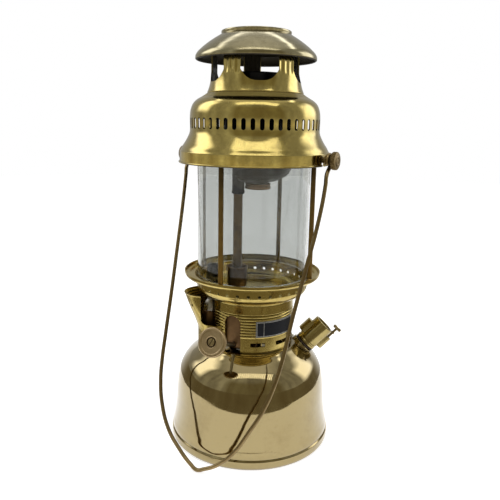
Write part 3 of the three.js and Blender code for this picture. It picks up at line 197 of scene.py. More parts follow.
def brass(name, look):
    # polishing lines run round the axis, tarnish lies in clouds, corners are darkened with painted shade and
    # some dirt, edges shine
    material, finish = newFinish(name)
    clean, aged, dirtAndShade = look["tones"]
    tarnish, gloss, dull, polish, specks = look["wear"]
    spot = finish.spot()
    up = finish.along(spot, 2)
    radius = finish.reach(spot)
    turn = finish.node("CombineXYZ", X=(up + radius) * 1400, Y=finish.along(spot, 0) * 12,
                       Z=finish.along(spot, 1) * 12)
    lines = finish.cloud(turn, 1.0, 4.0, 0.6)
    clouds = finish.cloud(spot, 26.0, 7.0, 0.62)
    fine = finish.cloud(spot, 190.0, 5.0, 0.6)
    scratches = finish.cloud(spot, 1.0, 3.0, 0.5, (700, 90, 260))
    flecks = finish.ramp(finish.cloud(spot, 420.0, 2.0), (0.66, 0.0), (0.74, 1.0))
    age = finish.ramp(clouds * 0.7 + fine * 0.3, (0.6 - tarnish * 0.5, 0.0), (0.78 - tarnish * 0.3, 1.0))
    # ambient occlusion darkens the colour in corners and between parts: painted shade, with some dirt
    corner = finish.node("AmbientOcclusion", {"samples": 4}, 1, Distance=0.006)
    grimeAndShade = finish.ramp(corner + fine * 0.25, (0.42, 1.0), (0.86, 0.0))
    worn = finish.ramp(finish.node("NewGeometry", output=7), (0.5, 0.0), (0.56, 1.0))
    tone = finish.mixed(age * 0.85, clean, aged)
    tone = finish.mixed((flecks * specks * 0.5).most(grimeAndShade * 0.6), tone, dirtAndShade)
    tone = finish.mixed(worn * 0.4, tone, tuple(min(1.0, part * 1.25) for part in clean))
    dullness = gloss + age * (dull - gloss) + grimeAndShade * 0.3 + flecks * 0.12 + lines * 0.04
    if "burnt" in look:
        low, high = look["burnt"]
        heat = ((up + clouds * 0.03 - low) / (high - low)).share()
        tone = finish.mixed(heat * 0.85, tone, (0.022, 0.019, 0.018))
        dullness = dullness + heat * 0.12
    metal = 1.0
    # faces turned to the axis or down are darkened: soot, and painted shade inside the hood and under the
    # cowl
    if "sootAndShade" in look:
        sootAndShade = finish.inward(spot) * look["sootAndShade"]
        tone = finish.mixed(sootAndShade, tone, (0.02, 0.016, 0.013))
        dullness = dullness + sootAndShade * 0.5
        metal = 1 - sootAndShade * 0.8
    if "stepShade" in look:
        # the step at the foot of the neck gets a band of painted shade in the aged tone, dull and less
        # metallic
        stepShade = up.within(*look["stepShade"], 0.0015)
        tone = finish.mixed(stepShade * 0.7, tone, aged)
        dullness = dullness + stepShade * 0.25
        metal = metal - stepShade * 0.5
    height = lines * polish + scratches * 0.25 - flecks * 0.3 + clouds * 0.1
    finish.surface(height, 0.1, 0.00025, Base_Color=tone, Roughness=dullness, Metallic=metal,
                   Coat_Weight=look.get("coat", 0.0), Coat_Roughness=0.06)
    return material


# tones: clean, aged, rust; wear: gloss, dullness, metal, how rusty
steelLooks = {
    "burnt_steel": {"tones": ((0.018, 0.019, 0.024), (0.011, 0.010, 0.011), (0.06, 0.028, 0.018)),
                    "wear": (0.30, 0.55, 0.97, 0.5)},
    "bright_steel": {"tones": ((0.50, 0.49, 0.46), (0.27, 0.25, 0.22), (0.15, 0.10, 0.06)),
                     "wear": (0.22, 0.45, 1.0, 0.25)},
}


def steel(name, look):
    # drawn lines along the axis, with rust and heat marks in clouds
    material, finish = newFinish(name)
    clean, aged, rusted = look["tones"]
    gloss, dull, metal, rusty = look["wear"]
    spot = finish.spot()
    clouds = finish.cloud(spot, 45.0, 7.0, 0.62)
    fine = finish.cloud(spot, 600.0, 4.0, 0.6)
    drawnLines = finish.cloud(spot, 1.0, 3.0, 0.5, (900, 900, 60))
    age = finish.ramp(clouds, (0.4, 0.0), (0.62, 1.0))
    rust = finish.ramp(clouds * 0.6 + fine * 0.4, (0.56, 0.0), (0.66, 1.0))
    tone = finish.mixed(age, clean, aged)
    tone = finish.mixed(rust * rusty, tone, rusted)
    dullness = gloss + age * (dull - gloss) + rust * 0.15
    finish.surface(fine * 0.6 + drawnLines * 0.3, 0.2, 0.0003, Base_Color=tone, Roughness=dullness,
                   Metallic=metal - rust * 0.3)
    return material


def chimneyGlass():
    # clear glass with a faint grey tint, a haze of dust and a few drawn streaks
    material, finish = newFinish("chimney_glass")
    spot = finish.spot()
    haze = finish.cloud(spot, 30.0, 5.0, 0.6)
    streaks = finish.cloud(spot, 1.0, 3.0, 0.5, (240, 240, 9))
    dust = finish.ramp(finish.cloud(spot, 900.0, 2.0), (0.7, 0.0), (0.78, 1.0))
    tint = finish.mixed((haze * 0.5 + dust * 0.5).share(), (0.63, 0.645, 0.635), (0.56, 0.575, 0.56))
    finish.surface(streaks, 0.02, 0.0003, Base_Color=tint, Roughness=dust * 0.12 + haze * 0.02,
                   Metallic=0.0, Transmission_Weight=1.0, IOR=1.47)
    return material


# wear: fineness of the grain, gloss, dullness, bump and how high it is
grainLooks = {
    "ceramic": {"tones": ((0.72, 0.68, 0.60), (0.42, 0.37, 0.31)), "wear": (500, 0.75, 0.95, 0.4, 0.0004)},
    "leather": {"tones": ((0.09, 0.055, 0.035), (0.16, 0.10, 0.06)), "wear": (700, 0.5, 0.8, 0.5, 0.0003)},
    "rubber": {"tones": ((0.035, 0.02, 0.014), (0.07, 0.045, 0.03)), "wear": (600, 0.55, 0.8, 0.3, 0.0002)},
    "dial": {"tones": ((0.82, 0.79, 0.70), (0.70, 0.66, 0.55)), "wear": (300, 0.35, 0.55, 0.08, 0.0001)},
    "ink": {"tones": ((0.015, 0.015, 0.018), (0.03, 0.03, 0.03)), "wear": (900, 0.4, 0.6, 0.1, 0.0001)},
}


def grained(name, look):
    material, finish = newFinish(name)
    grain, gloss, dull, bump, reach = look["wear"]
    spot = finish.spot()
    clouds = finish.cloud(spot, grain * 0.2, 5.0, 0.6)
    fine = finish.cloud(spot, grain, 6.0, 0.65)
    pores = finish.node("TexVoronoi", Vector=spot, Scale=grain * 1.6)
    finish.surface(fine * 0.6 + pores * 0.4, bump, reach,
                   Base_Color=finish.mixed((clouds * 0.6 + fine * 0.4).share(), *look["tones"]),
                   Roughness=gloss + clouds * (dull - gloss), Metallic=0.0)
    return material


plateLook = {"azimuths": (6, 66), "heights": (0.1213, 0.1377), "radius": 0.0443, "margin": 0.0011,
             "line": 0.0005, "column": 10.5, "crisp": 20000, "rim": (0.0004, 6000), "sheet": (44.3, 43.7)}


def plateFinish():
    # black enamel with a thin silver border and one dividing line, and nothing on it
    material, finish = newFinish("plate")
    spot = finish.spot()
    start, end = [math.radians(azimuth) for azimuth in plateLook["azimuths"]]
    low, high = plateLook["heights"]
    turn = finish.azimuth(spot)
    sideways = ((end - start) / 2 - abs(turn - (start + end) / 2)) * plateLook["radius"]
    upright = (high - low) / 2 - abs(finish.along(spot, 2) - (high + low) / 2)
    edge = sideways.least(upright)
    border = (plateLook["line"] / 2 - abs(edge - plateLook["margin"])) * plateLook["crisp"]
    column = abs(turn - start - math.radians(plateLook["column"])) * plateLook["radius"]
    divider = (plateLook["line"] / 2 - column) * plateLook["crisp"]
    lines = border.most(divider * (edge > plateLook["margin"])).share()
    worn, crisp = plateLook["rim"]
    rim = ((worn - edge) * crisp).share()
    wear = finish.cloud(spot, 700.0, 5.0, 0.6)
    clouds = finish.cloud(spot, 60.0, 4.0, 0.6)
    chips = finish.ramp(wear, (0.72, 0.0), (0.8, 1.0)) * 0.5
    bare = (lines * (wear * 2.2 - 0.25)).most(rim).most(chips).share()
    enamel = finish.mixed(clouds, (0.007, 0.008, 0.011), (0.016, 0.017, 0.021))
    finish.surface(wear * 0.3 + bare, 0.25, 0.0002,
                   Base_Color=finish.mixed(bare, enamel, (0.50, 0.50, 0.48)),
                   Roughness=0.36 + clouds * 0.16 - bare * 0.1, Metallic=bare * 0.9, Specular_IOR_Level=0.12)
    return material


finishes = {name: brass(name, look) for name, look in brassLooks.items()}
finishes.update({name: steel(name, look) for name, look in steelLooks.items()})
finishes.update({name: grained(name, look) for name, look in grainLooks.items()})
finishes["chimney_glass"] = chimneyGlass()
finishes["plate"] = plateFinish()
print("finishes made:", len(finishes))


# Shape helpers

def outwards(azimuth):
    angle = math.radians(azimuth)
    return Vector((math.sin(angle), -math.cos(angle), 0))


def polar(radius, azimuth):
    return tuple(outwards(azimuth) * radius)[:2]


def tilted(place, azimuth, tilt):
    # a frame whose Z leans out along an azimuth and up by a tilt, with X down the slope
    out, up, rise = outwards(azimuth), Vector((0, 0, 1)), math.radians(tilt)
    axis = out * math.cos(rise) + up * math.sin(rise)
    down = out * math.sin(rise) - up * math.cos(rise)
    matrix = Matrix((down, axis.cross(down), axis)).transposed().to_4x4()
    matrix.translation = place
    return matrix


def meshOf(curve):
    holder = bpy.data.objects.new("line", curve)
    bm = bmesh.new()
    bm.from_mesh(holder.to_mesh())
    holder.to_mesh_clear()
    bpy.data.objects.remove(holder)
    bpy.data.curves.remove(curve)
    return bm


def standOf(size):
    return tilted(size["origin"], size["azimuth"], size["tilt"])


def fromCurve(points, closed, resolution, depth=0.0, sides=24):
    # a line or a round bar through points; a point is (x, y, z, soft), and one that isn't soft is a corner
    curve = bpy.data.curves.new("line", "CURVE")
    curve.dimensions = "3D"
    curve.resolution_u = resolution
    curve.bevel_depth = depth
    curve.bevel_resolution = sides // 4
    curve.use_fill_caps = True
    spline = curve.splines.new("BEZIER")
    spline.bezier_points.add(len(points) - 1)
    spline.use_cyclic_u = closed
    for dot, (x, y, z, soft) in zip(spline.bezier_points, points):
        dot.co = (x, y, z)
        dot.handle_left_type = dot.handle_right_type = "AUTO" if soft else "VECTOR"
    bm = meshOf(curve)
    bmesh.ops.remove_doubles(bm, verts=bm.verts[:], dist=1e-4)
    return bm


def wire(points, radius, sides=24, resolution=10, closed=False):
    bm = fromCurve([(*point, True) for point in points], closed, resolution, radius, sides)
    bmesh.ops.recalc_face_normals(bm, faces=bm.faces[:])
    return bm


# a bend of more degrees than this is a corner, which gets its rounding
cornerBend = 24


def turned(points, steps=144, wall=0.0, closed=False, rounding=0.3, resolution=6):
    # a line of (radius, height) turned round Z; a third value makes a point soft, a wall goes inwards
    bm = fromCurve([(point[0], 0, point[1], len(point) > 2) for point in points], closed, resolution)
    corners = []
    for vert in bm.verts:
        if len(vert.link_edges) == 2 and vert.co.x > 0.01:
            first, second = [edge.other_vert(vert).co - vert.co for edge in vert.link_edges]
            if math.pi - first.angle(second) > math.radians(cornerBend):
                corners.append(vert)
    if rounding:
        bmesh.ops.bevel(bm, geom=corners, offset=rounding, segments=3, profile=0.5, affect="VERTICES",
                        material=-1, clamp_overlap=True)
    bmesh.ops.spin(bm, geom=bm.verts[:] + bm.edges[:], cent=(0, 0, 0), axis=(0, 0, 1), angle=2 * math.pi,
                   steps=steps, use_merge=True, use_duplicate=False)
    bmesh.ops.remove_doubles(bm, verts=bm.verts[:], dist=1e-4)
    bmesh.ops.dissolve_degenerate(bm, edges=bm.edges[:], dist=1e-5)
    bmesh.ops.recalc_face_normals(bm, faces=bm.faces[:])
    if wall:
        bmesh.ops.solidify(bm, geom=bm.faces[:], thickness=wall)
    return bm


def rod(radius, low, high, steps=32, rounding=0.3):
    return turned([(0, low), (radius, low), (radius, high), (0, high)], steps, rounding=rounding)


def ring(radius, bore, low, high, steps=96, rounding=0.25):
    return turned([(bore, low), (radius, low), (radius, high), (bore, high)], steps, closed=True,
                  rounding=rounding)


def block(size, centre, rounding=0.0, axis=None):
    # a box, with its edges rounded, or only the edges along one axis
    bm = bmesh.new()
    bmesh.ops.create_cube(bm, size=1)
    bmesh.ops.scale(bm, vec=size, verts=bm.verts[:])
    if rounding:
        edges = [edge for edge in bm.edges
                 if axis is None or abs((edge.verts[0].co - edge.verts[1].co).normalized()[axis]) > 0.9]
        bmesh.ops.bevel(bm, geom=edges, offset=rounding, segments=4, profile=0.5, affect="EDGES", material=-1)
    bmesh.ops.translate(bm, vec=centre, verts=bm.verts[:])
    return bm


def prism(outline, low, high):
    # an outline of (x, y) points raised between two heights
    bm = bmesh.new()
    face = bm.faces.new([bm.verts.new((x, y, low)) for x, y in outline])
    lifted = bmesh.ops.extrude_face_region(bm, geom=[face])
    top = [part for part in lifted["geom"] if isinstance(part, bmesh.types.BMVert)]
    bmesh.ops.translate(bm, vec=(0, 0, high - low), verts=top)
    bmesh.ops.recalc_face_normals(bm, faces=bm.faces[:])
    return bm


def wedge(start, end, reach, low, high):
    return prism([(0, 0), polar(reach, start), polar(reach * 1.3, (start + end) / 2), polar(reach, end)],
                 low, high)


def moved(bm, matrix):
    bmesh.ops.transform(bm, matrix=matrix, verts=bm.verts[:])
    return bm


def shifted(bm, x, y, z=0):
    return moved(bm, Matrix.Translation((x, y, z)))


def turnedTo(bm, azimuth):
    return moved(bm, Matrix.Rotation(math.radians(azimuth), 4, "Z"))


def laid(bm):
    # what pointed up points to the front
    return moved(bm, Matrix.Rotation(math.pi / 2, 4, "X"))


def circled(radius, first, last, step):
    # the cosine and sine sides of points round a circle, in degrees
    turns = [math.radians(angle) for angle in range(first, last, step)]
    return [(radius * math.cos(turn), radius * math.sin(turn)) for turn in turns]


def arched(half, top, foot, back, front):
    # a round-topped block that runs from one distance in front of the axis to another
    crown = [(across, top - half + up) for across, up in circled(half, 0, 181, 12)]
    return laid(prism([(half, foot), *crown, (-half, foot)], back, front))


def repeated(bm, count, azimuth, total=None):
    # a shape made at the front, copied round the axis from an azimuth on
    turnedTo(bm, azimuth)
    total = count if total is None else total
    bmesh.ops.spin(bm, geom=bm.verts[:] + bm.edges[:] + bm.faces[:], cent=(0, 0, 0), axis=(0, 0, 1),
                   angle=2 * math.pi * (total - 1) / count, steps=total - 1, use_merge=False,
                   use_duplicate=True)
    return bm


def standing(name, bm, finish=None):
    # an object in the scene with a shape's mesh
    mesh = bpy.data.meshes.new(name)
    bm.to_mesh(mesh)
    bm.free()
    if finish:
        mesh.materials.append(finish)
    holder = bpy.data.objects.new(name, mesh)
    bpy.context.scene.collection.objects.link(holder)
    return holder


def joined(*shapes):
    whole = bmesh.new()
    for bm in shapes:
        mesh = bpy.data.meshes.new("part")
        bm.to_mesh(mesh)
        whole.from_mesh(mesh)
        bpy.data.meshes.remove(mesh)
        bm.free()
    return whole


def changed(bm, tool, operation="DIFFERENCE"):
    # Blender's own boolean of two closed shapes
    holders = [standing("shape", shape) for shape in (bm, tool)]
    change = holders[0].modifiers.new("change", "BOOLEAN")
    change.operation = operation
    change.solver = "EXACT"
    change.object = holders[1]
    bpy.context.view_layer.update()
    result = bmesh.new()
    result.from_mesh(holders[0].evaluated_get(bpy.context.evaluated_depsgraph_get()).to_mesh())
    for holder in holders:
        mesh = holder.data
        bpy.data.objects.remove(holder)
        bpy.data.meshes.remove(mesh)
    bmesh.ops.remove_doubles(result, verts=result.verts[:], dist=1e-4)
    if not result.faces:
        raise ValueError("a cut left nothing of the shape")
    return result


def without(bm, *tools):
    # a shape less several others, one after another
    for tool in tools:
        bm = changed(bm, tool)
    return bm


def bevelled(bm, offset, angle=40, segments=2):
    edges = [edge for edge in bm.edges if edge.is_manifold and edge.calc_face_angle() > math.radians(angle)]
    bmesh.ops.bevel(bm, geom=edges, offset=offset, segments=segments, profile=0.5, affect="EDGES",
                    material=-1, clamp_overlap=True)
    return bm


def knurled(bm, count, depth, inner, low=-1e9, high=1e9):
    # every second column of a turned shape is pressed in, outside a radius and between two heights
    pressed = []
    for vert in bm.verts:
        column = math.atan2(vert.co.y, vert.co.x) / math.pi * count
        if round(column) % 2 and math.hypot(vert.co.x, vert.co.y) > inner and low < vert.co.z < high:
            pressed.append(vert)
    size = max(math.hypot(vert.co.x, vert.co.y) for vert in pressed)
    bmesh.ops.scale(bm, vec=((size - depth) / size, (size - depth) / size, 1), verts=pressed)
    return bm


def addPiece(name, bm, slotName, stands=(), body="lantern", place=None, sharp=32, material=None):
    # the shape becomes an object at the origin, in metres, that rides on a body
    moved(bm, Matrix.Scale(millimetre, 4) @ (place or Matrix()))
    for face in bm.faces:
        face.smooth = True
    for edge in bm.edges:
        edge.smooth = not (edge.is_manifold and edge.calc_face_angle() > math.radians(sharp))
    piece = standing(name, bm, material or finishes[slotName])
    piece.modifiers.new("evenNormals", "WEIGHTED_NORMAL").keep_sharp = True
    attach(piece, body)
    if stands:
        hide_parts(*stands)
    return piece


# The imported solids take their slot's finish, also those that a piece replaces

for part in frame["record"]["subparts"]:
    mesh = frame["nodes"][part["node"]].data
    mesh.materials.clear()
    mesh.materials.append(finishes[part["material_slot"]])


# where the vaporizer stands, seen from above
vaporizerSpot = (-15.5, -5)


# Fuel tank and its pressed base

tankSize = {
    "skin": [(83.31, 10.8), (83.6, 12.5, 1), (82.0, 21.5, 1), (80.5, 31, 1), (79.4, 42, 1), (78.8, 52, 1),
             (78.0, 61, 1), (76.6, 69.5, 1), (73.6, 79, 1), (67.3, 88.5, 1), (58.9, 95.8, 1),
             (52.5, 100.4, 1), (47.6, 103.6, 1), (46.4, 104), (42.2, 104), (40.6, 102.4), (36, 96), (0, 96)],
    "base": [(83.3, 10.5), (84.5, 9.0), (84.65, 6.5, 1), (84.4, 2.4, 1), (82.5, 0), (79.0, 0), (77.2, 3),
             (61.9, 3), (60.0, 0), (0, 0)],
    "wall": 1.2, "steps": 216, "shoulder": (6, 14),
    "pumpBore": 11.4, "fillerBore": 8.6, "boreReach": (-24, 8),
}


def tankRoom():
    # the outside of the tank's shoulder, for what stands on it
    first, last = tankSize["shoulder"]
    return turned([(0, 60), *tankSize["skin"][first:last], (0, 104.3)], 144, rounding=0)


def tank():
    size = tankSize
    shell = turned(size["skin"], size["steps"], size["wall"], rounding=0.7)
    holes = [moved(rod(bore, *size["boreReach"], 64, rounding=0), standOf(fitting))
             for fitting, bore in ((pumpSize, size["pumpBore"]), (fillerSize, size["fillerBore"]))]
    addPiece("tankShell", without(shell, *holes), "tank_brass", ["tank_shell"])
    addPiece("tankFoot", turned(size["base"], size["steps"], size["wall"], rounding=0.8), "tank_brass",
             ["tank_base"])


# Casing round the valve, with its ribs, vents, arch and torch window

casingSize = {
    "radius": 43.4, "inner": 41.5, "low": 104.3, "high": 153.0, "ribs": 9, "ribPitch": 3.0, "firstRib": 120.6,
    "ribDepth": 1.3, "ventSize": (15, 4.2), "ventHeight": 113, "vents": 7, "firstVent": 9, "ventPitch": 36,
    "archAzimuth": -26.0, "archWidth": 17.6, "archTop": 142.3, "torchWindow": (-113, -60),
}


def casing():
    size = casingSize
    radius, inner, low, high = size["radius"], size["inner"], size["low"], size["high"]
    first, pitch = size["firstRib"], size["ribPitch"]
    line = [(inner, low), (radius, low), (radius, 108.5, 1), (radius, 110.6, 1), (radius, 115.4, 1),
            (radius, 117.2, 1), (radius, first - 1.6)]
    for rib in range(size["ribs"]):
        height = first + rib * pitch
        line += [(radius, height - 0.8, 1), (radius, height + 0.8, 1),
                 (radius - size["ribDepth"], height + pitch / 2, 1)]
    line[-1] = (radius, first + size["ribs"] * pitch - 1.0)
    line += [(radius, high), (inner, high)]
    shell = turned(line, 216, closed=True, rounding=0.25)
    width, height = size["ventSize"]
    vent = block((width, 12, height), (0, -radius, size["ventHeight"]), 0.5, axis=1)
    vents = repeated(vent, 360 / size["ventPitch"], size["firstVent"], size["vents"])
    arch = turnedTo(arched(size["archWidth"] / 2, size["archTop"], low - 4, 20, 60), size["archAzimuth"])
    torchWindow = wedge(*size["torchWindow"], 60, low - 4, high + 4)
    addPiece("valveCasing", without(shell, vents, arch, torchWindow), "collar_brass", ["casing"], sharp=40)


# Gallery with its ring of holes, seat and flange

gallerySize = {
    "bowl": [(43.3, 153.3), (43.6, 154.4, 1), (46.4, 155.3, 1), (51.4, 157.4, 1), (55.4, 160.8, 1),
             (57.2, 164.4, 1), (57.6, 168.5, 1), (57.7, 173.2, 1), (58.9, 175.2, 1), (61.6, 175.5, 1),
             (67.0, 175.7, 1), (69.4, 177.4, 1), (70.0, 180.7)],
    "wall": 1.2, "band": 57.6, "seat": (54.4, 174.4, 176.5), "torchRoom": 8.4,
    "holes": 34, "holeRadius": 1.6, "holeHeight": 167.2, "firstHole": 7.1,
}


def gallery():
    size = gallerySize
    shell = turned(size["bowl"], 216, size["wall"], rounding=0.3)
    hole = shifted(laid(rod(size["holeRadius"], -8, 8, 12, rounding=0)), 0, -size["band"], size["holeHeight"])
    torchHole = moved(rod(size["torchRoom"], 0, 66, 48, rounding=0), torchPlace())
    shell = without(shell, repeated(hole, size["holes"], size["firstHole"]), torchHole)
    inner, low, high = size["seat"]
    seat = ring(size["band"] - size["wall"] + 0.4, inner, low, high)
    addPiece("glassGallery", joined(shell, seat), "collar_brass", ["gallery"], sharp=40)


# Hood with its slots, rim and notches, and its neck with the five windows

hoodSize = {
    "low": 289.87, "radius": 75.2, "wall": 1.2,
    "rim": [(74.1, 290.2), (74.0, 296.4, 1), (73.9, 301.2), (72.8, 302.9, 1), (71.4, 305.6, 1),
            (68.6, 309.8, 1), (65.4, 315.6, 1), (64.0, 319.2, 1), (63.6, 323.5, 1), (63.7, 330.0, 1),
            (63.6, 335.6, 1), (62.7, 341.4, 1), (60.4, 346.6, 1), (57.0, 350.0, 1), (53.4, 352.2, 1),
            (49.6, 354.4, 1), (47.2, 356.2)],
    "slots": 48, "slotWidth": 4.1, "slotTall": 10.4, "slotDepth": 14, "slotRadius": 63.6,
    "slotHeight": 327.8, "firstSlot": 5.6,
    "notchWidth": 5.6, "notchTop": 298.7, "pivot": 60, "bead": (74.15, 290.85, 0.95),
}
neckSize = {
    "line": [(46.6, 356.5), (46.8, 357.3), (46.0, 359.2, 1), (44.6, 363.5, 1), (43.7, 368.0, 1),
             (43.3, 374.0, 1), (43.1, 385.0, 1), (43.1, 402.0)],
    "windows": 5, "firstWindow": 4.8, "width": 35, "low": 366.3, "high": 394.7, "corner": 10,
    "flutes": 3, "fluteDepth": 0.9, "fluteLow": 372, "fluteRise": 5, "fluteEdge": 2.0, "postRadius": 43.1,
    "sag": 3.2, "sagSteps": 24,
}


def hood():
    size = hoodSize
    shell = turned(size["rim"], 240, size["wall"], rounding=0.25, resolution=3)
    slot = block((size["slotWidth"], size["slotDepth"], size["slotTall"]),
                 (0, -size["slotRadius"], size["slotHeight"]), size["slotWidth"] / 2 - 0.01, axis=1)
    shell = changed(shell, repeated(slot, size["slots"], size["firstSlot"]))
    across, height, thick = size["bead"]
    bead = [(across + out, height - down, 1) for down, out in circled(thick, 0, 360, 45)]
    bead = turned(bead, 240, closed=True, rounding=0, resolution=2)
    cut = []
    for shape in (shell, bead):
        notch = block((size["notchWidth"], 24, size["notchTop"] - size["low"] + 8),
                      (0, -size["radius"], (size["notchTop"] + size["low"] - 8) / 2), 2.4, axis=1)
        cut.append(changed(shape, repeated(notch, 2, size["pivot"])))
    addPiece("hoodShell", joined(*cut), "hood_brass", ["hood"], "hood", sharp=40)


def neck():
    size = neckSize
    shell = turned(size["line"], 240, hoodSize["wall"], rounding=0.2)
    half, corner, low = size["width"] / 2, size["corner"], size["low"]
    edge = [(-half, size["high"])]
    # the window's lower edge sags like a hammock
    for step in range(size["sagSteps"] + 1):
        across = -1 + step / (size["sagSteps"] / 2)
        edge.append((half * across, low + corner * abs(across) ** size["sag"]))
    edge.append((half, size["high"]))
    window = prism(edge, 20, 60)
    shell = changed(shell, repeated(laid(window), size["windows"], size["firstWindow"]))
    # the posts between the windows are fluted, and the flutes run out above the foot
    pitch = 360 / size["windows"]
    for vert in shell.verts:
        azimuth = math.degrees(math.atan2(vert.co.x, -vert.co.y))
        inPost = (azimuth - size["firstWindow"] + pitch) % pitch - pitch / 2
        wide = pitch / 2 - math.degrees(math.asin(half / size["postRadius"]))
        if abs(inPost) < wide and vert.co.z > size["fluteLow"]:
            wave = 0.5 - 0.5 * math.cos((inPost / wide + 1) * math.pi * size["flutes"])
            rise = min(1.0, (vert.co.z - size["fluteLow"]) / size["fluteRise"])
            edgeFade = min(1.0, (wide - abs(inPost)) / size["fluteEdge"])
            press = size["fluteDepth"] * wave * rise * edgeFade
            out = Vector((vert.co.x, vert.co.y, 0)).normalized()
            vert.co -= out * press
    addPiece("hoodNeck", shell, "hood_brass", ["hood_neck"], "hood", sharp=40)


# Cowl over the neck, with its collar and sunken top

cowlSize = {
    "line": [(57.0, 386.7), (58.0, 387.3, 1), (58.3, 388.6, 1), (57.6, 391.6, 1), (53.2, 396.6, 1),
             (47.6, 401.2, 1), (41.6, 405.4, 1), (35.4, 409.2, 1), (33.2, 410.6), (33.3, 413.3, 1),
             (32.6, 413.6, 1), (31.9, 413.2, 1), (31.6, 412.3, 1), (24, 412.2, 1), (0, 412.5)],
    "wall": 1.2,
}


def cowl():
    addPiece("cowlCap", turned(cowlSize["line"], 240, cowlSize["wall"], rounding=0.35), "cowl_brass",
             ["cowl"], "hood")


# Glass chimney, the four rods of the cage and the ring they carry

cageSize = {
    "glass": 56.4, "glassWall": 2.2, "low": 176.77, "high": 297.37, "rodCircle": 64, "rod": 2.4,
    "rodTop": 294.07, "azimuths": (-28, 62, 152, 242), "ring": (69.5, 58.5, 294.37, 297.37),
}


def cage():
    size = cageSize
    addPiece("glassCylinder", ring(size["glass"], size["glass"] - size["glassWall"], size["low"],
                                   size["high"], 192, 0.8), "chimney_glass", ["glass_chimney"])
    for number, azimuth in enumerate(size["azimuths"], 1):
        radius, low, high = size["rod"], size["low"], size["rodTop"]
        line = [(0, low), (radius * 1.45, low), (radius * 1.45, low + 1.6), (radius, low + 2.6),
                (radius, high - 1.4), (radius * 0.72, high), (0, high)]
        bar = shifted(turned(line, 40, rounding=0.3), *polar(size["rodCircle"], azimuth))
        addPiece(f"cageRod{number}", bar, "cage_brass", [f"cage_rod_{number}"])
    outer, inner, low, high = size["ring"]
    ringLine = [(inner, low), (outer - 0.6, low), (outer, low + 0.8), (outer, high), (inner + 0.8, high),
                (inner, high - 0.8)]
    addPiece("cageRing", turned(ringLine, 180, closed=True, rounding=0.35), "cage_brass", ["cage_top_ring"])


# Wire bail with an eye at each end, hung on two studs behind knurled nuts

bailSize = {
    "pivot": 295.867, "azimuth": -30, "tilt": 19, "wire": 1.9, "drop": 309.9, "reach": 80.05, "eye": 5.4,
    "right": [(1, 0.045), (1.008, 0.075), (0.998, 0.193), (0.945, 0.338), (0.892, 0.48), (0.852, 0.624),
              (0.808, 0.695), (0.731, 0.767), (0.606, 0.838), (0.46, 0.91), (0.28, 0.962), (0.1, 0.99)],
    "left": [(1, 0.045), (0.988, 0.07), (0.94, 0.193), (0.897, 0.338), (0.857, 0.48), (0.823, 0.624),
             (0.804, 0.695), (0.764, 0.767), (0.676, 0.838), (0.507, 0.91), (0.3, 0.957), (0.1, 0.99)],
}


def bail():
    size = bailSize
    place = tilted((0, 0, size["pivot"]), size["azimuth"], size["tilt"])
    drop, reach, eye = size["drop"], size["reach"], size["eye"]

    def eyePoints(side):
        return [(along, side * reach, across) for along, across in circled(eye, 28, 331, 38)]

    right = [(down * drop, across * reach, 0) for across, down in size["right"]]
    left = [(down * drop, -across * reach, 0) for across, down in size["left"]]
    points = eyePoints(1) + right + [(drop, 0, 0)] + left[::-1] + eyePoints(-1)[::-1]
    addPiece("wireBail", wire(points, size["wire"], 24, 14), "wire_brass", ["bail"], "bail", place=place,
             sharp=60)


studSize = {
    "azimuths": {"Right": 60, "Left": 240}, "height": 295.867, "stud": 2.5, "inner": 69.8, "outer": 89.0,
    "collar": (4.6, 75.5, 78.0), "nut": 8.4, "nutLow": 82.4, "knurls": 34, "knurlDepth": 0.45,
}


def studs():
    size = studSize
    stud, inner, outer = size["stud"], size["inner"], size["outer"]
    for side, azimuth in size["azimuths"].items():
        place = tilted((0, 0, size["height"]), azimuth, 0)
        collar, low, high = size["collar"]
        line = [(0, inner), (stud, inner), (stud, low), (collar - 0.8, low), (collar, low + 0.8),
                (collar, high - 0.5), (collar - 0.5, high), (stud, high), (stud, outer - 0.2),
                (0, outer - 0.2)]
        addPiece(f"pivotStud{side}", turned(line, 40, rounding=0.2), "wire_brass",
                 [f"pivot_stud_{side.lower()}"], place=place)
        bore, nut, back, front = stud + 0.15, size["nut"], size["nutLow"], outer
        line = [(bore, back), (nut * 0.62, back), (nut * 0.66, back + 1.0), (nut - 0.5, back + 1.3),
                (nut, back + 1.9), (nut, front - 1.4), (nut - 0.6, front - 0.8), (nut * 0.6, front - 0.5),
                (nut * 0.5, front), (bore, front)]
        nutShape = turned(line, size["knurls"] * 4, closed=True, rounding=0.15)
        knurled(nutShape, size["knurls"], size["knurlDepth"], nut - 0.4)
        addPiece(f"knurledNut{side}", nutShape, "wire_brass", [f"knurled_nut_{side.lower()}"],
                 f"nut_{side.lower()}", place=place)


# Guard that leans out of the casing round the torch, ribbed inside its open panel, and the bare plate

guardSize = {
    "place": (-34.0, -11.04), "radius": 21.5, "topRadius": 19.8, "wall": 1.1, "low": 92.5, "bend": 122.3,
    "top": 158.3, "lean": (-16, 3), "sill": 128.3, "panel": -51.5, "ribs": 8, "firstRib": 156.4,
    "ribPitch": 2.7, "ribDepth": 0.9, "peephole": ((-44.5, -9, 147), -50, 1.5), "back": -7.0,
    "lever": (-46.0, 4.6, 110.9), "casingTop": 153.4,
    "gallery": [(0, 153.3), (43.7, 153.3), (52.0, 156.4), (56.6, 160.4), (58.4, 164.4), (58.4, 175),
                (0, 175)],
}


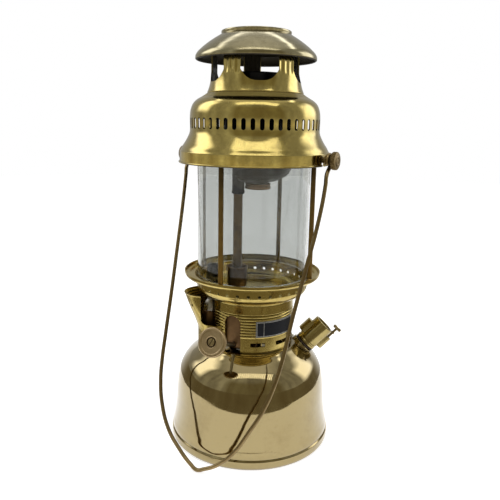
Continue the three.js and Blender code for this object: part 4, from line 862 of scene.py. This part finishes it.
def torchGuard():
    size = guardSize
    outer, top, wall = size["radius"], size["topRadius"], size["wall"]
    low, bend, high = size["low"], size["bend"], size["top"]
    slope = (top - outer) / (high - bend)
    skin = [(outer, low), (outer, bend - 6, 1), (outer - 0.1, bend + 4, 1),
            (outer + slope * 20, bend + 20, 1), (top, high - 1.6, 1), (top + 0.4, high - 0.3)]
    # the ribs are pressed into the inside, above the bend
    lining = [(top - wall + 0.4, high - 0.3)]
    for rib in range(size["ribs"]):
        height = size["firstRib"] - rib * size["ribPitch"]
        lining.append((outer + slope * (height - bend) - wall, height, 1))
        height -= size["ribPitch"] / 2
        lining.append((outer + slope * (height - bend) - wall - size["ribDepth"], height, 1))
    lining += [(outer - wall, bend - 2, 1), (outer - wall, low)]
    shell = turned(skin + lining, 144, closed=True, rounding=0.2, resolution=3)
    (across, along), (leanAcross, leanAlong) = size["place"], size["lean"]
    for vert in shell.verts:
        share = max(0.0, (vert.co.z - bend) / (high - bend))
        soft = share * share * (3 - 2 * share) * 0.35 + share * 0.65
        vert.co.x += across + leanAcross * soft
        vert.co.y += along + leanAlong * soft
    far, sill = 90, size["sill"]
    window = block((far, far, 60), (size["panel"] + far / 2, size["back"] - far / 2, sill + 30), 5, axis=1)
    core = rod(casingSize["radius"] + 0.3, 80, size["casingTop"], 96, rounding=0)
    bowl = turned(size["gallery"], 96, rounding=0)
    across, width, foot = size["lever"]
    slot = block((width, 40, 30), (across, 6, foot + 15), 1.2, axis=1)
    place, azimuth, radius = size["peephole"]
    peephole = moved(rod(radius, 10, 30, 24, rounding=0), tilted(place, azimuth, 0))
    shell = without(shell, window, core, bowl, tankRoom(), slot, peephole)
    addPiece("torchPanel", shell, "collar_brass", ["torch_guard"], sharp=40)


def labelPlate():
    low, high = [height * 1000 for height in plateLook["heights"]]
    strip = changed(ring(*plateLook["sheet"], low, high, 216, 0.2),
                    wedge(*plateLook["azimuths"], 60, low - 5, high + 5), "INTERSECT")
    addPiece("barePlate", strip, "plate", ["label_plate"], sharp=40)


# Pressed floor inside the gallery, with the holes for the vaporizer and the torch

floorSize = {
    "line": [(0, 162.6), (34, 162.6, 1), (40, 162.8, 1), (43.0, 165.0, 1), (46.0, 165.6, 1),
             (49.5, 164.4, 1), (52.5, 163.4, 1), (55.4, 163.2)],
    "wall": 0.9, "tubeRoom": (4.9, 150, 180),
}


def galleryFloor():
    size = floorSize
    sheet = turned([(radius, height + size["wall"], *soft) for radius, height, *soft in size["line"]], 180,
                   size["wall"], rounding=0, resolution=4)
    tubeHole = shifted(rod(*size["tubeRoom"], 32, rounding=0), *vaporizerSpot)
    torchHole = moved(rod(torchSize["room"], 0, 85, 32, rounding=0), torchPlace())
    addPiece("pressedFloor", without(sheet, tubeHole, torchHole), "collar_brass", ["gallery_floor"], sharp=40)


# Valve block with its spindle, gland and control wheel

valveSize = {
    "place": (-8, -2.5),
    "block": [(0, 89.3), (8, 89.3), (8, 96.3), (15, 96.3), (15, 99.6), (13.8, 100.4), (13.8, 103.2),
              (15, 104), (15, 114.6), (13.2, 117.4), (9.4, 118.3), (0, 118.3)],
    "dip": [(2.2, 8), (3.2, 8.6), (3.2, 89.0), (2.2, 89.0)],
    # half width, top, foot, back and front of the boss, and how far it is turned from the arch
    "boss": (9.5, 143.2, 106, 22, 39.6), "bossTurn": -1.6, "bossEdge": 2.4,
    "flat": ((6, 40, 10.5), (-15.6, 0, 109.2)), "flatTurn": -12,
    "well": (1.9, 107.3, 121), "vaporizerRoom": (6.9, 100, 150), "glandRoom": (15.3, 96, 122),
}
wheelSize = {
    "reach": 83, "height": 128.3, "azimuth": -26, "tilt": 22, "radius": 14.3, "thickness": 5, "knurls": 72,
    "knurlDepth": 0.22, "screwSlot": 64, "spindle": 2.4, "length": 78, "gland": 6, "glandFrom": 59.5,
    "glandLength": 8,
    "screw": 3.5, "bore": 2.7,
}


def wheelPlace():
    return tilted((*polar(wheelSize["reach"], wheelSize["azimuth"]), wheelSize["height"]),
                  wheelSize["azimuth"], wheelSize["tilt"])


def shaftRoom():
    return moved(rod(wheelSize["bore"], -wheelSize["length"] - 0.3, 4, 24, rounding=0), wheelPlace())


def valve():
    size = valveSize
    body = shifted(turned(size["block"], 96, rounding=0.5), *size["place"])
    flat = shifted(turnedTo(block(*size["flat"], 0.6), size["flatTurn"]), *size["place"])
    well = shifted(rod(*size["well"], 24, rounding=0), *vaporizerSpot)
    body = without(body, shaftRoom(), flat, well)
    # the boss that fills the casing's arch
    boss = turnedTo(arched(*size["boss"]), casingSize["archAzimuth"] + size["bossTurn"])
    tubeRoom = shifted(rod(*size["vaporizerRoom"], 48, rounding=0), *vaporizerSpot)
    boss = without(bevelled(boss, size["bossEdge"], 50, 4), shaftRoom(), tubeRoom)
    addPiece("valveBody", joined(body, boss), "burnt_brass", ["valve_block"], sharp=40)
    addPiece("pickUpTube", shifted(turned(size["dip"], 40, closed=True, rounding=0.2), *size["place"]),
             "inner_brass", ["dip_tube"])


def wheel():
    size = wheelSize
    place, half, radius, bore = wheelPlace(), size["thickness"] / 2, size["radius"], size["bore"]
    line = [(bore, -half - 1.2), (5.4, -half - 1.2), (5.4, -half), (radius - 1.4, -half),
            (radius - 0.2, -half + 0.9, 1), (radius, -half + 1.6), (radius, half - 1.6),
            (radius - 0.25, half - 0.8, 1), (radius - 1.3, half - 0.1, 1), (radius - 3.0, half),
            (radius - 3.6, half - 0.35), (5.9, half - 0.35), (5.5, half), (5.0, half), (4.8, half - 0.3),
            (4.8, half - 2.2), (bore, half - 2.2)]
    disc = turned(line, size["knurls"] * 4, closed=True, rounding=0.14, resolution=3)
    knurled(disc, size["knurls"], size["knurlDepth"], radius - 0.15, -half + 1.4, half - 1.4)
    addPiece("controlWheel", disc, "wheel_brass", ["control_wheel"], "control", place=place)
    screw, shaft, end = size["screw"], size["spindle"], -size["length"]
    head = turned([(0, half - 1.9), (screw, half - 1.9), (screw, half - 0.1), (screw - 0.4, half + 0.25),
                   (0, half + 0.35)], 48, rounding=0.12)
    slot = turnedTo(block((0.8, 12, 2), (0, 0, half + 0.6)), size["screwSlot"])
    addPiece("wheelScrew", changed(head, slot), "inner_brass", ["wheel_screw"], "control", place=place)
    line = [(0, end), (shaft - 0.5, end), (shaft, end + 0.9), (shaft, -30), (shaft - 0.35, -29),
            (shaft - 0.35, -27.4), (shaft, -26.4), (shaft, half - 0.7), (0, half - 0.7)]
    addPiece("controlSpindle", turned(line, 40, rounding=0.15), "bright_steel", ["control_spindle"],
             "control", place=place)
    low, high = -size["glandFrom"] - size["glandLength"], -size["glandFrom"]
    nut = turned([(bore, low), (6.6, low), (6.6, high - 1.0), (5.4, high), (3.6, high), (3.4, high + 1.0),
                  (bore, high + 1.0)], 96, closed=True, rounding=0.15)
    hexagon = prism(circled(size["gland"], 0, 360, 60), low - 2, high + 6)
    nut = moved(changed(nut, hexagon, "INTERSECT"), place)
    room = shifted(rod(*valveSize["glandRoom"], 96, rounding=0), *valveSize["place"])
    addPiece("spindleGland", changed(nut, room), "bright_steel", ["spindle_gland"], sharp=25)


# Vaporizer in its spirit cup, with its sleeve, jet and cleaning needle

vaporizerSize = {
    "tube": [(2.2, 118.6), (6.2, 118.6), (6.2, 122.4), (4.6, 123.4), (4.6, 258), (4.6, 286.6), (2.2, 286.6)],
    "head": [(4.9, 259.6), (5.9, 259.6), (6.5, 260.2), (6.5, 262.2), (6.15, 262.6), (6.15, 291.4),
             (6.5, 291.9), (6.5, 295.0), (5.9, 295.6), (4.9, 295.6)],
    "jet": [(0.8, 286.9), (4, 286.9), (4, 289.4), (3.1, 290.0), (3.1, 292.6), (1.6, 294.9), (0.8, 294.9)],
    "needle": [(0, 109.8), (1.6, 109.8), (1.6, 279.4), (0.45, 281.9), (0.45, 289.4), (0, 289.4)],
    "cup": [(4.9, 164.3), (9.0, 164.3), (9.6, 165.2, 1), (10.0, 175, 1), (10.1, 183.4, 1), (10.6, 184.4, 1),
            (10.6, 185.1, 1), (9.9, 185.3, 1), (9.2, 184.4, 1), (9.1, 180, 1), (8.7, 166.4, 1),
            (8.1, 165.3), (4.9, 165.3)],
}


def vaporizer():
    size = vaporizerSize
    turns = (("vaporizerTube", "tube", "vaporizer_brass", "vaporizer_tube"),
             ("vaporizerSleeve", "head", "burnt_steel", "vaporizer_head"),
             ("jetNipple", "jet", "fitting_brass", "jet"),
             ("spiritCup", "cup", "burnt_brass", "preheat_cup"))
    for name, line, slot, node in turns:
        shape = turned(size[line], 64, closed=True, rounding=0.2, resolution=4)
        addPiece(name, shifted(shape, *vaporizerSpot), slot, [node])
    needle = turned(size["needle"], 24, rounding=0.12)
    addPiece("prickerNeedle", shifted(needle, *vaporizerSpot), "bright_steel", ["cleaning_needle"], "needle")


# Preheating torch with its lever

torchSize = {
    "foot": (-45.994, -13.015, 104), "top": (-38.525, -11.485), "height": 85, "room": 7.4,
    "body": [(0, -11), (5.0, -11), (5.0, 4.2), (7.2, 5.6), (7.4, 6.4), (7.4, 11), (6.9, 11.6), (6.9, 13.6),
             (7.4, 14.2), (7.4, 33.0, 1), (7.1, 35.4), (6.2, 35.9), (0, 35.9)],
    "nozzle": [(0, 35.9), (6.7, 35.9), (7.1, 36.5), (7.1, 40, 1), (6.3, 43.6, 1), (4.3, 47.4), (4.0, 48.4),
               (4.0, 58.6), (0, 58.6)],
    "head": [(0, 58.95), (4.6, 58.95), (6.2, 60.0, 1), (6.8, 61.6, 1), (6.8, 82.4), (6.5, 83.9),
             (5.4, 83.9), (5.3, 66.6, 1), (4.4, 66.0), (0, 66.0)],
    "ports": (4, 74.5, 1.5, 20), "eye": (1.7, 40.5, 112), "lever": (-45.994, -3.415, 113.3), "arm": 34,
    "thick": 1.6, "knob": 3.4,
}


def torchPlace():
    foot, top = torchSize["foot"], torchSize["top"]
    across, along = top[0] - foot[0], top[1] - foot[1]
    azimuth = math.degrees(math.atan2(across, -along))
    tilt = math.degrees(math.atan2(torchSize["height"], math.hypot(across, along)))
    return tilted(foot, azimuth, tilt)


def torch():
    size, place = torchSize, torchPlace()
    body = moved(turned(size["body"], 80, rounding=0.3, resolution=5), place)
    addPiece("torchBody", changed(body, tankRoom()), "burnt_brass", ["torch_body"], sharp=40)
    nozzle = turned(size["nozzle"], 80, rounding=0.25, resolution=5)
    radius, height, azimuth = size["eye"]
    eye = shifted(laid(rod(radius, 2, 12, 20, rounding=0)), 0, 0, height)
    nozzle = moved(changed(nozzle, turnedTo(eye, azimuth)), place)
    addPiece("torchNozzle", nozzle, "bright_steel", ["torch_body"], sharp=40)
    head = turned(size["head"], 72, rounding=0.2, resolution=4)
    count, height, radius, first = size["ports"]
    port = shifted(laid(rod(radius, 4, 12, 24, rounding=0)), 0, 0, height)
    head = changed(head, repeated(port, count, first))
    addPiece("torchHead", head, "burnt_steel", ["torch_head"], place=place, sharp=40)
    thick, arm, knob = size["thick"], size["arm"], size["knob"]
    line = [(0, -thick), (thick * 0.9, -thick * 0.7, 1), (thick, 0.4, 1), (thick, arm - knob - 1.6),
            (thick * 1.5, arm - knob - 0.6), (thick * 1.5, arm - knob + 0.4),
            (knob * 0.92, arm - knob * 0.45, 1), (knob, arm, 1), (knob * 0.75, arm + knob * 0.7, 1),
            (0, arm + knob, 1)]
    lever = moved(turned(line, 40, rounding=0.15), Matrix.Rotation(-math.pi / 2, 4, "X"))
    addPiece("torchLever", shifted(lever, *size["lever"]), "bright_steel", ["torch_lever"], "lever")


# Burner under the hood: chimney, heat shield, mixing chamber and tube, nozzle

burnerSize = {
    "place": (4, 0),
    "chimney": [(38.7, 297.7), (68.2, 297.7), (69.0, 297.9, 1), (69.6, 299.1), (72.6, 299.1), (72.6, 300.3),
                (69.1, 300.3), (67.7, 298.9), (40.6, 298.9), (38.2, 300.4, 1), (33.4, 314, 1),
                (29.0, 330, 1), (28.0, 337, 1), (28.0, 374.2, 1), (28.6, 375.2), (27.2, 375.2),
                (26.8, 374, 1), (26.8, 336, 1), (28.2, 328, 1), (32.4, 312, 1), (37.0, 299.2, 1)],
    "shield": [(0, 270.07), (9, 270.07), (16.1, 271.3, 1), (26.9, 274.57, 1), (34.0, 279.5, 1),
               (37.6, 285.9, 1), (38.3, 292, 1), (38.4, 297.37)],
    "shieldOpen": (-150, -32), "wall": 1.2, "chamberRoom": (9.3, 260, 320), "pore": (0.75, 262, 264.9),
    "pores": {2.6: 6, 5.4: 12, 8.0: 18},
    "chamber": [(6.5, 270.07), (9, 270.07), (9, 274), (8.6, 274.6), (8.6, 301), (9, 301.6), (9, 305.4),
                (8.4, 306.07), (6.5, 306.07)],
    "nozzle": [(10.8, 264.2), (12.2, 264.2), (13, 265.0), (13, 267.0), (12.4, 267.5), (12.4, 268.2),
               (13, 268.8), (13, 269.4), (12.4, 269.8), (10.8, 269.8)],
    "ceramic": [(0, 263.0), (7.35, 263.5, 1), (10.0, 264.8, 1), (10.5, 265.6), (10.5, 269.6), (6.5, 269.6),
                (6.5, 266.8), (0, 266.6)],
    "tube": 6.2, "tubeWall": 1.0, "mouth": 295.9, "rise": 18, "foot": 298.07,
}


def burner():
    size = burnerSize
    across, along = size["place"]
    chimney = turned(size["chimney"], 144, closed=True, rounding=0.2, resolution=5)
    addPiece("innerChimney", chimney, "burnt_steel", ["inner_chimney"], "hood")
    shield = turned(size["shield"], 144, size["wall"], rounding=0.2, resolution=5)
    room = shifted(rod(*size["chamberRoom"], 48, rounding=0), across, along)
    shield = without(shield, wedge(*size["shieldOpen"], 60, 260, 320), room)
    addPiece("heatShield", shield, "burnt_steel", ["heat_shield"], "hood", sharp=40)
    for name, line, slot, node in (("mixingChamber", "chamber", "burnt_steel", "mixing_chamber"),
                                   ("nozzleRing", "nozzle", "burnt_brass", "nozzle_ring")):
        addPiece(name, shifted(turned(size[line], 72, closed=True, rounding=0.2), across, along), slot,
                 [node], "hood")
    nozzle = turned(size["ceramic"], 72, rounding=0.25)
    pores = [repeated(shifted(rod(*size["pore"], 10, rounding=0), 0, -reach), count, 0)
             for reach, count in size["pores"].items()]
    addPiece("ceramicNozzle", shifted(changed(nozzle, joined(*pores)), across, along), "ceramic",
             ["ceramic_nozzle"], "hood", sharp=40)

    jet, centre, upright = Vector((*vaporizerSpot, 0)), Vector((across, along, 0)), Vector((0, 0, 1))
    reach = (jet - centre).length
    bend = size["mouth"] + size["rise"]
    route = [jet + upright * size["mouth"], jet + upright * (size["mouth"] + 6)]
    middle = (jet + centre) / 2
    for along, up in circled(1, 0, 181, 20):
        route.append(middle + (jet - centre) / 2 * along + upright * (bend + reach / 2 * up))
    route += [centre + upright * (size["foot"] + 6), centre + upright * size["foot"]]
    pipe = wire(route, size["tube"], 32, 8)
    bore = wire([route[0] - upright * 4, *route[1:-1], route[-1] - upright * 4],
                size["tube"] - size["tubeWall"], 32, 8)
    addPiece("mixingTube", changed(pipe, bore), "burnt_steel", ["mixing_tube"], "hood", sharp=50)


# Filler neck with its gasket, cap, gauge and bleed screw

fillerSize = {
    "origin": (57.006, 1.991, 98.822), "azimuth": 92, "tilt": 45,
    "neck": [(8.6, -19), (15.2, -19), (14.4, -14, 1), (13.3, -8.5, 1), (12.8, -4.2, 1), (12.6, -2.4),
             (12.6, -0.6), (12.2, -0.3), (8.6, -0.3)],
    "gasket": [(8.6, 0.2), (10.6, 0.2), (11.0, 0.6, 1), (11.0, 1.2, 1), (10.6, 1.6), (8.6, 1.6)],
    "cap": [(0, -3.9), (7.9, -3.9), (8.3, -3.4), (8.3, 2.1), (10.9, 2.1), (11.4, 2.7), (11.4, 4.4),
            (11.0, 4.9), (11.0, 6.2), (11.4, 6.8), (11.4, 29.6), (11.0, 30.4, 1), (10.2, 30.6), (9.4, 30.3),
            (9.2, 29.6), (9.2, 27.0), (0, 27.0)],
    "wing": (16.5, 11, 8.5, 23.5), "dial": (9.0, 27.1, 27.6), "glass": (9.0, 28.5, 29.1),
    "needle": (27.7, 28.2), "bleed": (13.3, 1.4, 23.8, 36.7), "bleedHole": (1.55, 22, 26),
    "pointer": [(-2.8, -0.7), (0, -0.55), (6.6, -0.12), (6.6, 0.12), (0, 0.55), (-2.8, 0.7)], "hub": 1.3,
    "bar": (9.6, 1.7), "numbers": 5, "sweep": 240,
}


def filler():
    size = fillerSize
    place = standOf(size)
    addPiece("fillerNeck", turned(size["neck"], 96, closed=True, rounding=0.25, resolution=5), "tank_brass",
             ["filler_neck"], place=place)
    addPiece("fillerGasket", turned(size["gasket"], 72, closed=True, rounding=0.2), "rubber",
             ["filler_gasket"], "filler", place=place)
    reach, width, low, high = size["wing"]
    blunt = reach - width / 4
    half = [(blunt, -width / 2), (reach, -width / 4), (reach, width / 4), (blunt, width / 2)]
    wings = prism(half + [(-x, -y) for x, y in half], low, high)
    cap = changed(turned(size["cap"], 96, rounding=0.25), bevelled(wings, 0.8, 30, 3), "UNION")
    screwHole = shifted(rod(*size["bleedHole"], 24, rounding=0), size["bleed"][0], 0)
    addPiece("fillerCap", changed(cap, screwHole), "fitting_brass", ["filler_cap"], "filler", place=place,
             sharp=30)

    radius, low, high = size["dial"]
    addPiece("gaugeDial", rod(radius, low, high, 96, 0.15), "dial", ["gauge_dial"], "filler", place=place)
    marks = []
    for number in range(size["numbers"] * 2 - 1):
        angle = math.radians(-90 - size["sweep"] / 2 + size["sweep"] * number / (size["numbers"] * 2 - 2))
        tick = block((1.5 if number % 2 == 0 else 0.9, 0.28, 0.06), (radius - 1.3, 0, high + 0.04))
        marks.append(moved(tick, Matrix.Rotation(angle, 4, "Z")))
        if number % 2 == 0:
            marks.append(numeral(str(number // 2), 2.2,
                                 (math.cos(angle) * (radius - 3.7), math.sin(angle) * (radius - 3.7),
                                  high + 0.02)))
    piece = addPiece("dialMarks", joined(*marks), "dial", body="filler", place=place,
                     material=finishes["ink"])
    piece.modifiers.clear()
    low, high = size["needle"]
    pointer = prism(size["pointer"], low, high)
    hub = rod(size["hub"], low, high + 0.1, 32, 0.1)
    addPiece("gaugeNeedle", changed(bevelled(pointer, 0.08, 30, 1), hub, "UNION"), "plate",
             ["gauge_needle"], "gauge", place=place, material=finishes["ink"])
    radius, low, high = size["glass"]
    addPiece("gaugeGlass", rod(radius, low, high, 96, 0.15), "chimney_glass", ["gauge_glass"], "filler",
             place=place)

    offset, radius, low, high = size["bleed"]
    length, thick = size["bar"]
    stem = turned([(0, low), (radius * 0.7, low), (radius, low + 0.5), (radius, low + 5),
                   (radius * 1.5, low + 5.4), (radius * 1.5, low + 6.8), (radius, low + 7.2),
                   (radius, high), (0, high)], 32, rounding=0.12)
    bar = turned([(0, -length / 2), (thick * 0.75, -length / 2 + 0.1, 1), (thick, -length / 2 + 1.0, 1),
                  (thick * 0.82, 0, 1), (thick, length / 2 - 1.0, 1), (thick * 0.75, length / 2 - 0.1, 1),
                  (0, length / 2)], 32, rounding=0)
    shifted(moved(bar, Matrix.Rotation(math.pi / 2, 4, "Y")), 0, 0, high)
    addPiece("bleedScrew", shifted(changed(stem, bar, "UNION"), offset, 0), "inner_brass", ["bleed_screw"],
             "bleed", place=place)


def numeral(text, height, centre):
    # a flat figure, made a mesh, turned so that it reads from outside
    curve = bpy.data.curves.new("numeral", "FONT")
    curve.body, curve.size, curve.extrude = text, height, 0.02
    curve.align_x, curve.align_y = "CENTER", "CENTER"
    return shifted(turnedTo(meshOf(curve), 90), *centre)


# Pump on the back of the shoulder

pumpSize = {
    "origin": (0, 57.185, 97.386), "azimuth": 180, "tilt": 45,
    "neck": [(11.3, -15), (16.0, -15), (15.0, -9, 1), (14.2, -3, 1), (14.0, 0), (14.0, 6.4), (13.5, 7.0),
             (11.3, 7.0)],
    "cap": [(2.5, 7.3), (12.6, 7.3), (12.6, 10.6), (11.9, 11.8, 1), (10.4, 12.3), (4.4, 12.3), (4.0, 12.3),
            (2.5, 12.3)],
    "knob": [(0, 12.6), (5.0, 12.6), (5.4, 13.2), (5.0, 16.2, 1), (6.4, 17.6, 1), (8.6, 18.6, 1),
             (9.0, 20.6, 1), (8.6, 22.8, 1), (6.8, 24.1, 1), (4.0, 24.6, 1), (0, 24.6)],
    "rod": [(0, -62.8), (2.2, -62.8), (2.2, 12.3), (0, 12.3)],
    "barrel": [(5.3, -67), (10.6, -67), (11, -66.5), (11, 7), (10, 7), (10, -66), (5.3, -66)],
    "piston": [(0, -65.7), (9.4, -65.7), (9.7, -61, 1), (9.7, -57.7), (8.8, -57.7), (8.2, -61, 1),
               (4.4, -63.0), (0, -63.0)],
    "valve": [(0, -76), (3, -76), (5, -71.5), (5, -66), (0, -66)],
    "knurls": (54, 0.25, 12.3, 7.6, 10.4),
}


def pump():
    size = pumpSize
    place = standOf(size)
    addPiece("pumpNeck", turned(size["neck"], 96, closed=True, rounding=0.3, resolution=5), "tank_brass",
             ["pump_neck"], place=place)
    cap = turned(size["cap"], 216, closed=True, rounding=0.25, resolution=3)
    addPiece("pumpCap", knurled(cap, *size["knurls"]), "fitting_brass", ["pump_cap"], place=place)
    turns = (("pumpKnob", "knob", 96, 0.2, "inner_brass", "pump"),
             ("pumpRod", "rod", 40, 0.3, "bright_steel", "pump"),
             ("pumpLeather", "piston", 72, 0.3, "leather", "pump"),
             ("pumpBarrel", "barrel", 72, 0.2, "inner_brass", "lantern"),
             ("pumpValve", "valve", 48, 0.3, "inner_brass", "lantern"))
    for name, line, steps, rounding, slot, body in turns:
        shape = turned(size[line], steps, closed=line == "barrel", rounding=rounding)
        addPiece(name, shape, slot, [f"pump_{line}"], body, place=place)


for build in (tank, casing, gallery, hood, neck, cowl, cage, bail, studs, torchGuard, labelPlate,
              galleryFloor, valve, wheel, vaporizer, torch, burner, filler, pump):
    build()
    print("shaped:", build.__name__)


# Camera, floor and light

cameraSize = {"place": (-0.0027, -0.570, 0.330), "pitch": 12.8, "roll": 1.0, "lens": 40.68}


def camera():
    pitch, roll = math.radians(cameraSize["pitch"]), math.radians(cameraSize["roll"])
    ahead = Vector((0, math.cos(pitch), -math.sin(pitch)))
    level, upright = Vector((1, 0, 0)), Vector((0, math.sin(pitch), math.cos(pitch)))
    right = level * math.cos(roll) + upright * math.sin(roll)
    up = upright * math.cos(roll) - level * math.sin(roll)
    matrix = Matrix((right, up, -ahead)).transposed().to_4x4()
    matrix.translation = cameraSize["place"]
    data = bpy.data.cameras.new("photoCamera")
    data.lens = cameraSize["lens"]
    data.sensor_width = 36
    data.clip_start, data.clip_end = 0.01, 60
    holder = bpy.data.objects.new("photoCamera", data)
    bpy.context.scene.collection.objects.link(holder)
    holder.matrix_world = matrix
    bpy.context.scene.camera = holder


lightLook = {
    "room": 0.55, "floorWhite": 0.82, "floorGlow": 0.62, "floorRadius": 3.0,
    # name: place, size, watts, and the point it faces
    "lamps": {
        "leftWindow": ((-1.5, -0.7, 1.1), (0.9, 1.2), 9, (0, 0, 0.2)),
        "rightWindow": ((1.5, -0.6, 1.0), (0.9, 1.2), 9, (0, 0, 0.2)),
        "ceilingBox": ((0.1, -0.5, 1.9), (0.9, 0.5), 6, (0, 0, 0.25)),
    },
}
# What polished metal reflects: a table edge, a dim room, two windows and a slatted lamp.
# Each light has its azimuths, its elevations in degrees, its soft edge and its strength.
tentLook = {
    "outline": [(0.235, 0.002), (0.60, 0.002), (0.64, 0.20), (1.42, 0.10), (1.5, 0.8), (1.3, 1.35),
                (0.8, 1.75), (0.0, 1.9)],
    "stretch": 1.4, "centre": 0.12, "back": (118, 150), "step": (0.205, 0.72),
    "table": ((0.20, 0.165, 0.095), (0.93, 0.93, 0.92)),
    "dado": (0.25, (0.46, 0.38, 0.22), (1.15, 1.12, 0.85)),
    "dark": ((-46, 58), (0.34, 50), 12, (0.22, 0.185, 0.11), (0.50, 0.50, 0.36)),
    "wall": ((0.40, 0.39, 0.36), (0.66, 0.66, 0.65)),
    "streak": ((0.20, 0.19, 0.15), (0.86, 0.88, 0.80)),
    "ceiling": ((0.88, 0.87, 0.83), 56, 16),
    "lights": {
        "left": ((-126, -86), (13, 58), 10, 2.9),
        "right": ((88, 134), (2, 44), 11, 2.7),
        "behind": ((104, 256), (53, 61), 4, 3.8),
    },
    "lamp": ((-0.78, 0.92), (-0.98, -0.5), 1.35, 22, 3.7),
}


def facing(place, target):
    direction = Vector(target) - Vector(place)
    matrix = direction.to_track_quat("-Z", "Y").to_matrix().to_4x4()
    matrix.translation = place
    return matrix


def studio():
    scene = bpy.context.scene
    scene.view_settings.view_transform = "Standard"
    world = bpy.data.worlds.new("studio")
    scene.world = world
    world.use_nodes = True
    finish = Finish(world.node_tree)
    seen = finish.seen()
    shade = finish.mixed(seen, (lightLook["room"],) * 3, (1, 1, 1))
    finish.node("OutputWorld", Surface=finish.node("Background", Color=shade, Strength=1.0))

    floor = bmesh.new()
    bmesh.ops.create_circle(floor, cap_ends=True, segments=128, radius=lightLook["floorRadius"])
    material, finish = newFinish("floor")
    seen = finish.seen()
    grain = finish.mixed(finish.cloud(finish.spot(), 6.0), (lightLook["floorWhite"],) * 3,
                         (lightLook["floorWhite"] + 0.02,) * 3)
    lit = finish.node("BsdfPrincipled", Base_Color=grain, Roughness=0.9)
    glow = finish.node("Emission", Strength=seen * lightLook["floorGlow"])
    finish.node("OutputMaterial", Surface=finish.node("AddShader", n0=lit, n1=glow))
    floorObject = standing("floor", floor, material)

    for name, (place, size, watts, target) in lightLook["lamps"].items():
        lamp = bpy.data.lights.new(name, "AREA")
        lamp.shape, lamp.energy = "RECTANGLE", watts
        lamp.size, lamp.size_y = size
        holder = bpy.data.objects.new(name, lamp)
        scene.collection.objects.link(holder)
        holder.matrix_world = facing(place, target)
        holder.visible_glossy = False


def tentFinish():
    look = tentLook
    material, finish = newFinish("tent")
    spot = finish.spot()
    across, along, up = [finish.along(spot, axis) for axis in range(3)]
    reach = finish.reach(spot)
    degrees = 180 / math.pi
    azimuth = finish.azimuth(spot) * degrees
    elevation = finish.node("Math", {"operation": "ARCTAN2"}, n0=up - look["centre"], n1=reach) * degrees
    first, last = look["back"]
    back = ((abs(azimuth) - first) / (last - first)).share()
    streaks = finish.cloud(finish.node("CombineXYZ", X=azimuth * 0.05, Y=elevation * 0.006), 1.0, 4.0, 0.6)
    clouds = finish.cloud(spot, 1.6, 3.0)
    bands = ((streaks * 0.75 + clouds * 0.25 - 0.40) * 4).share()
    wall = finish.mixed(bands * (1 - back), *look["streak"])
    wall = finish.mixed(0.5, finish.mixed(back, *look["wall"]), wall)
    top, low, soft = look["ceiling"]
    shade = finish.mixed(((elevation - low) / soft).share(), wall, top)
    wide, (foot, crown), soft, dark, hint = look["dark"]
    patch = azimuth.within(*wide, soft) * ((up - foot) / 0.08).share() * ((crown - elevation) / soft).share()
    shade = finish.mixed(patch, shade, finish.mixed(bands * 0.5, dark, hint))
    high, dull, bright = look["dado"]
    low = ((high + 0.06 - up) / 0.06).share() * (1 - back)
    shade = finish.mixed(low, shade, finish.mixed(bands, dull, bright))
    height, edge = look["step"]
    near = (up < height) * (finish.reach(spot, look["stretch"]) < edge)
    dim = finish.mixed(bands * 0.4, look["table"][0], (0.42, 0.40, 0.30))
    shade = finish.mixed(near, shade, finish.mixed(back, dim, look["table"][1]))
    for sideways, upright, soft, strength in look["lights"].values():
        turn = azimuth + (azimuth < 0) * 360 if sideways[1] > 180 else azimuth
        share = turn.within(*sideways, soft) * elevation.within(*upright, soft)
        shade = finish.mixed(share, shade, (strength, strength * 1.01, strength * 1.02))
    (left, right), (near, far), low, slats, strength = look["lamp"]
    share = across.within(left, right, 0.05) * along.within(near, far, 0.04) * (up > low)
    comb = 0.52 + finish.node("Math", {"operation": "SINE"},
                              n0=across * (slats * 2 * math.pi / (right - left))) * 0.48
    shade = finish.mixed(share * comb, shade, (strength, strength, strength * 0.97))
    finish.node("OutputMaterial", Surface=finish.node("Emission", Color=shade))
    return material


def tent():
    shell = turned([(radius * 1000, height * 1000) for radius, height in tentLook["outline"]], 96, rounding=0)
    moved(shell, Matrix.Diagonal((millimetre * tentLook["stretch"], millimetre, millimetre, 1)))
    holder = standing("tent", shell, tentFinish())
    for ray in ("camera", "diffuse", "shadow", "transmission"):
        setattr(holder, f"visible_{ray}", False)


camera()
studio()
tent()
print("camera, studio and tent set")
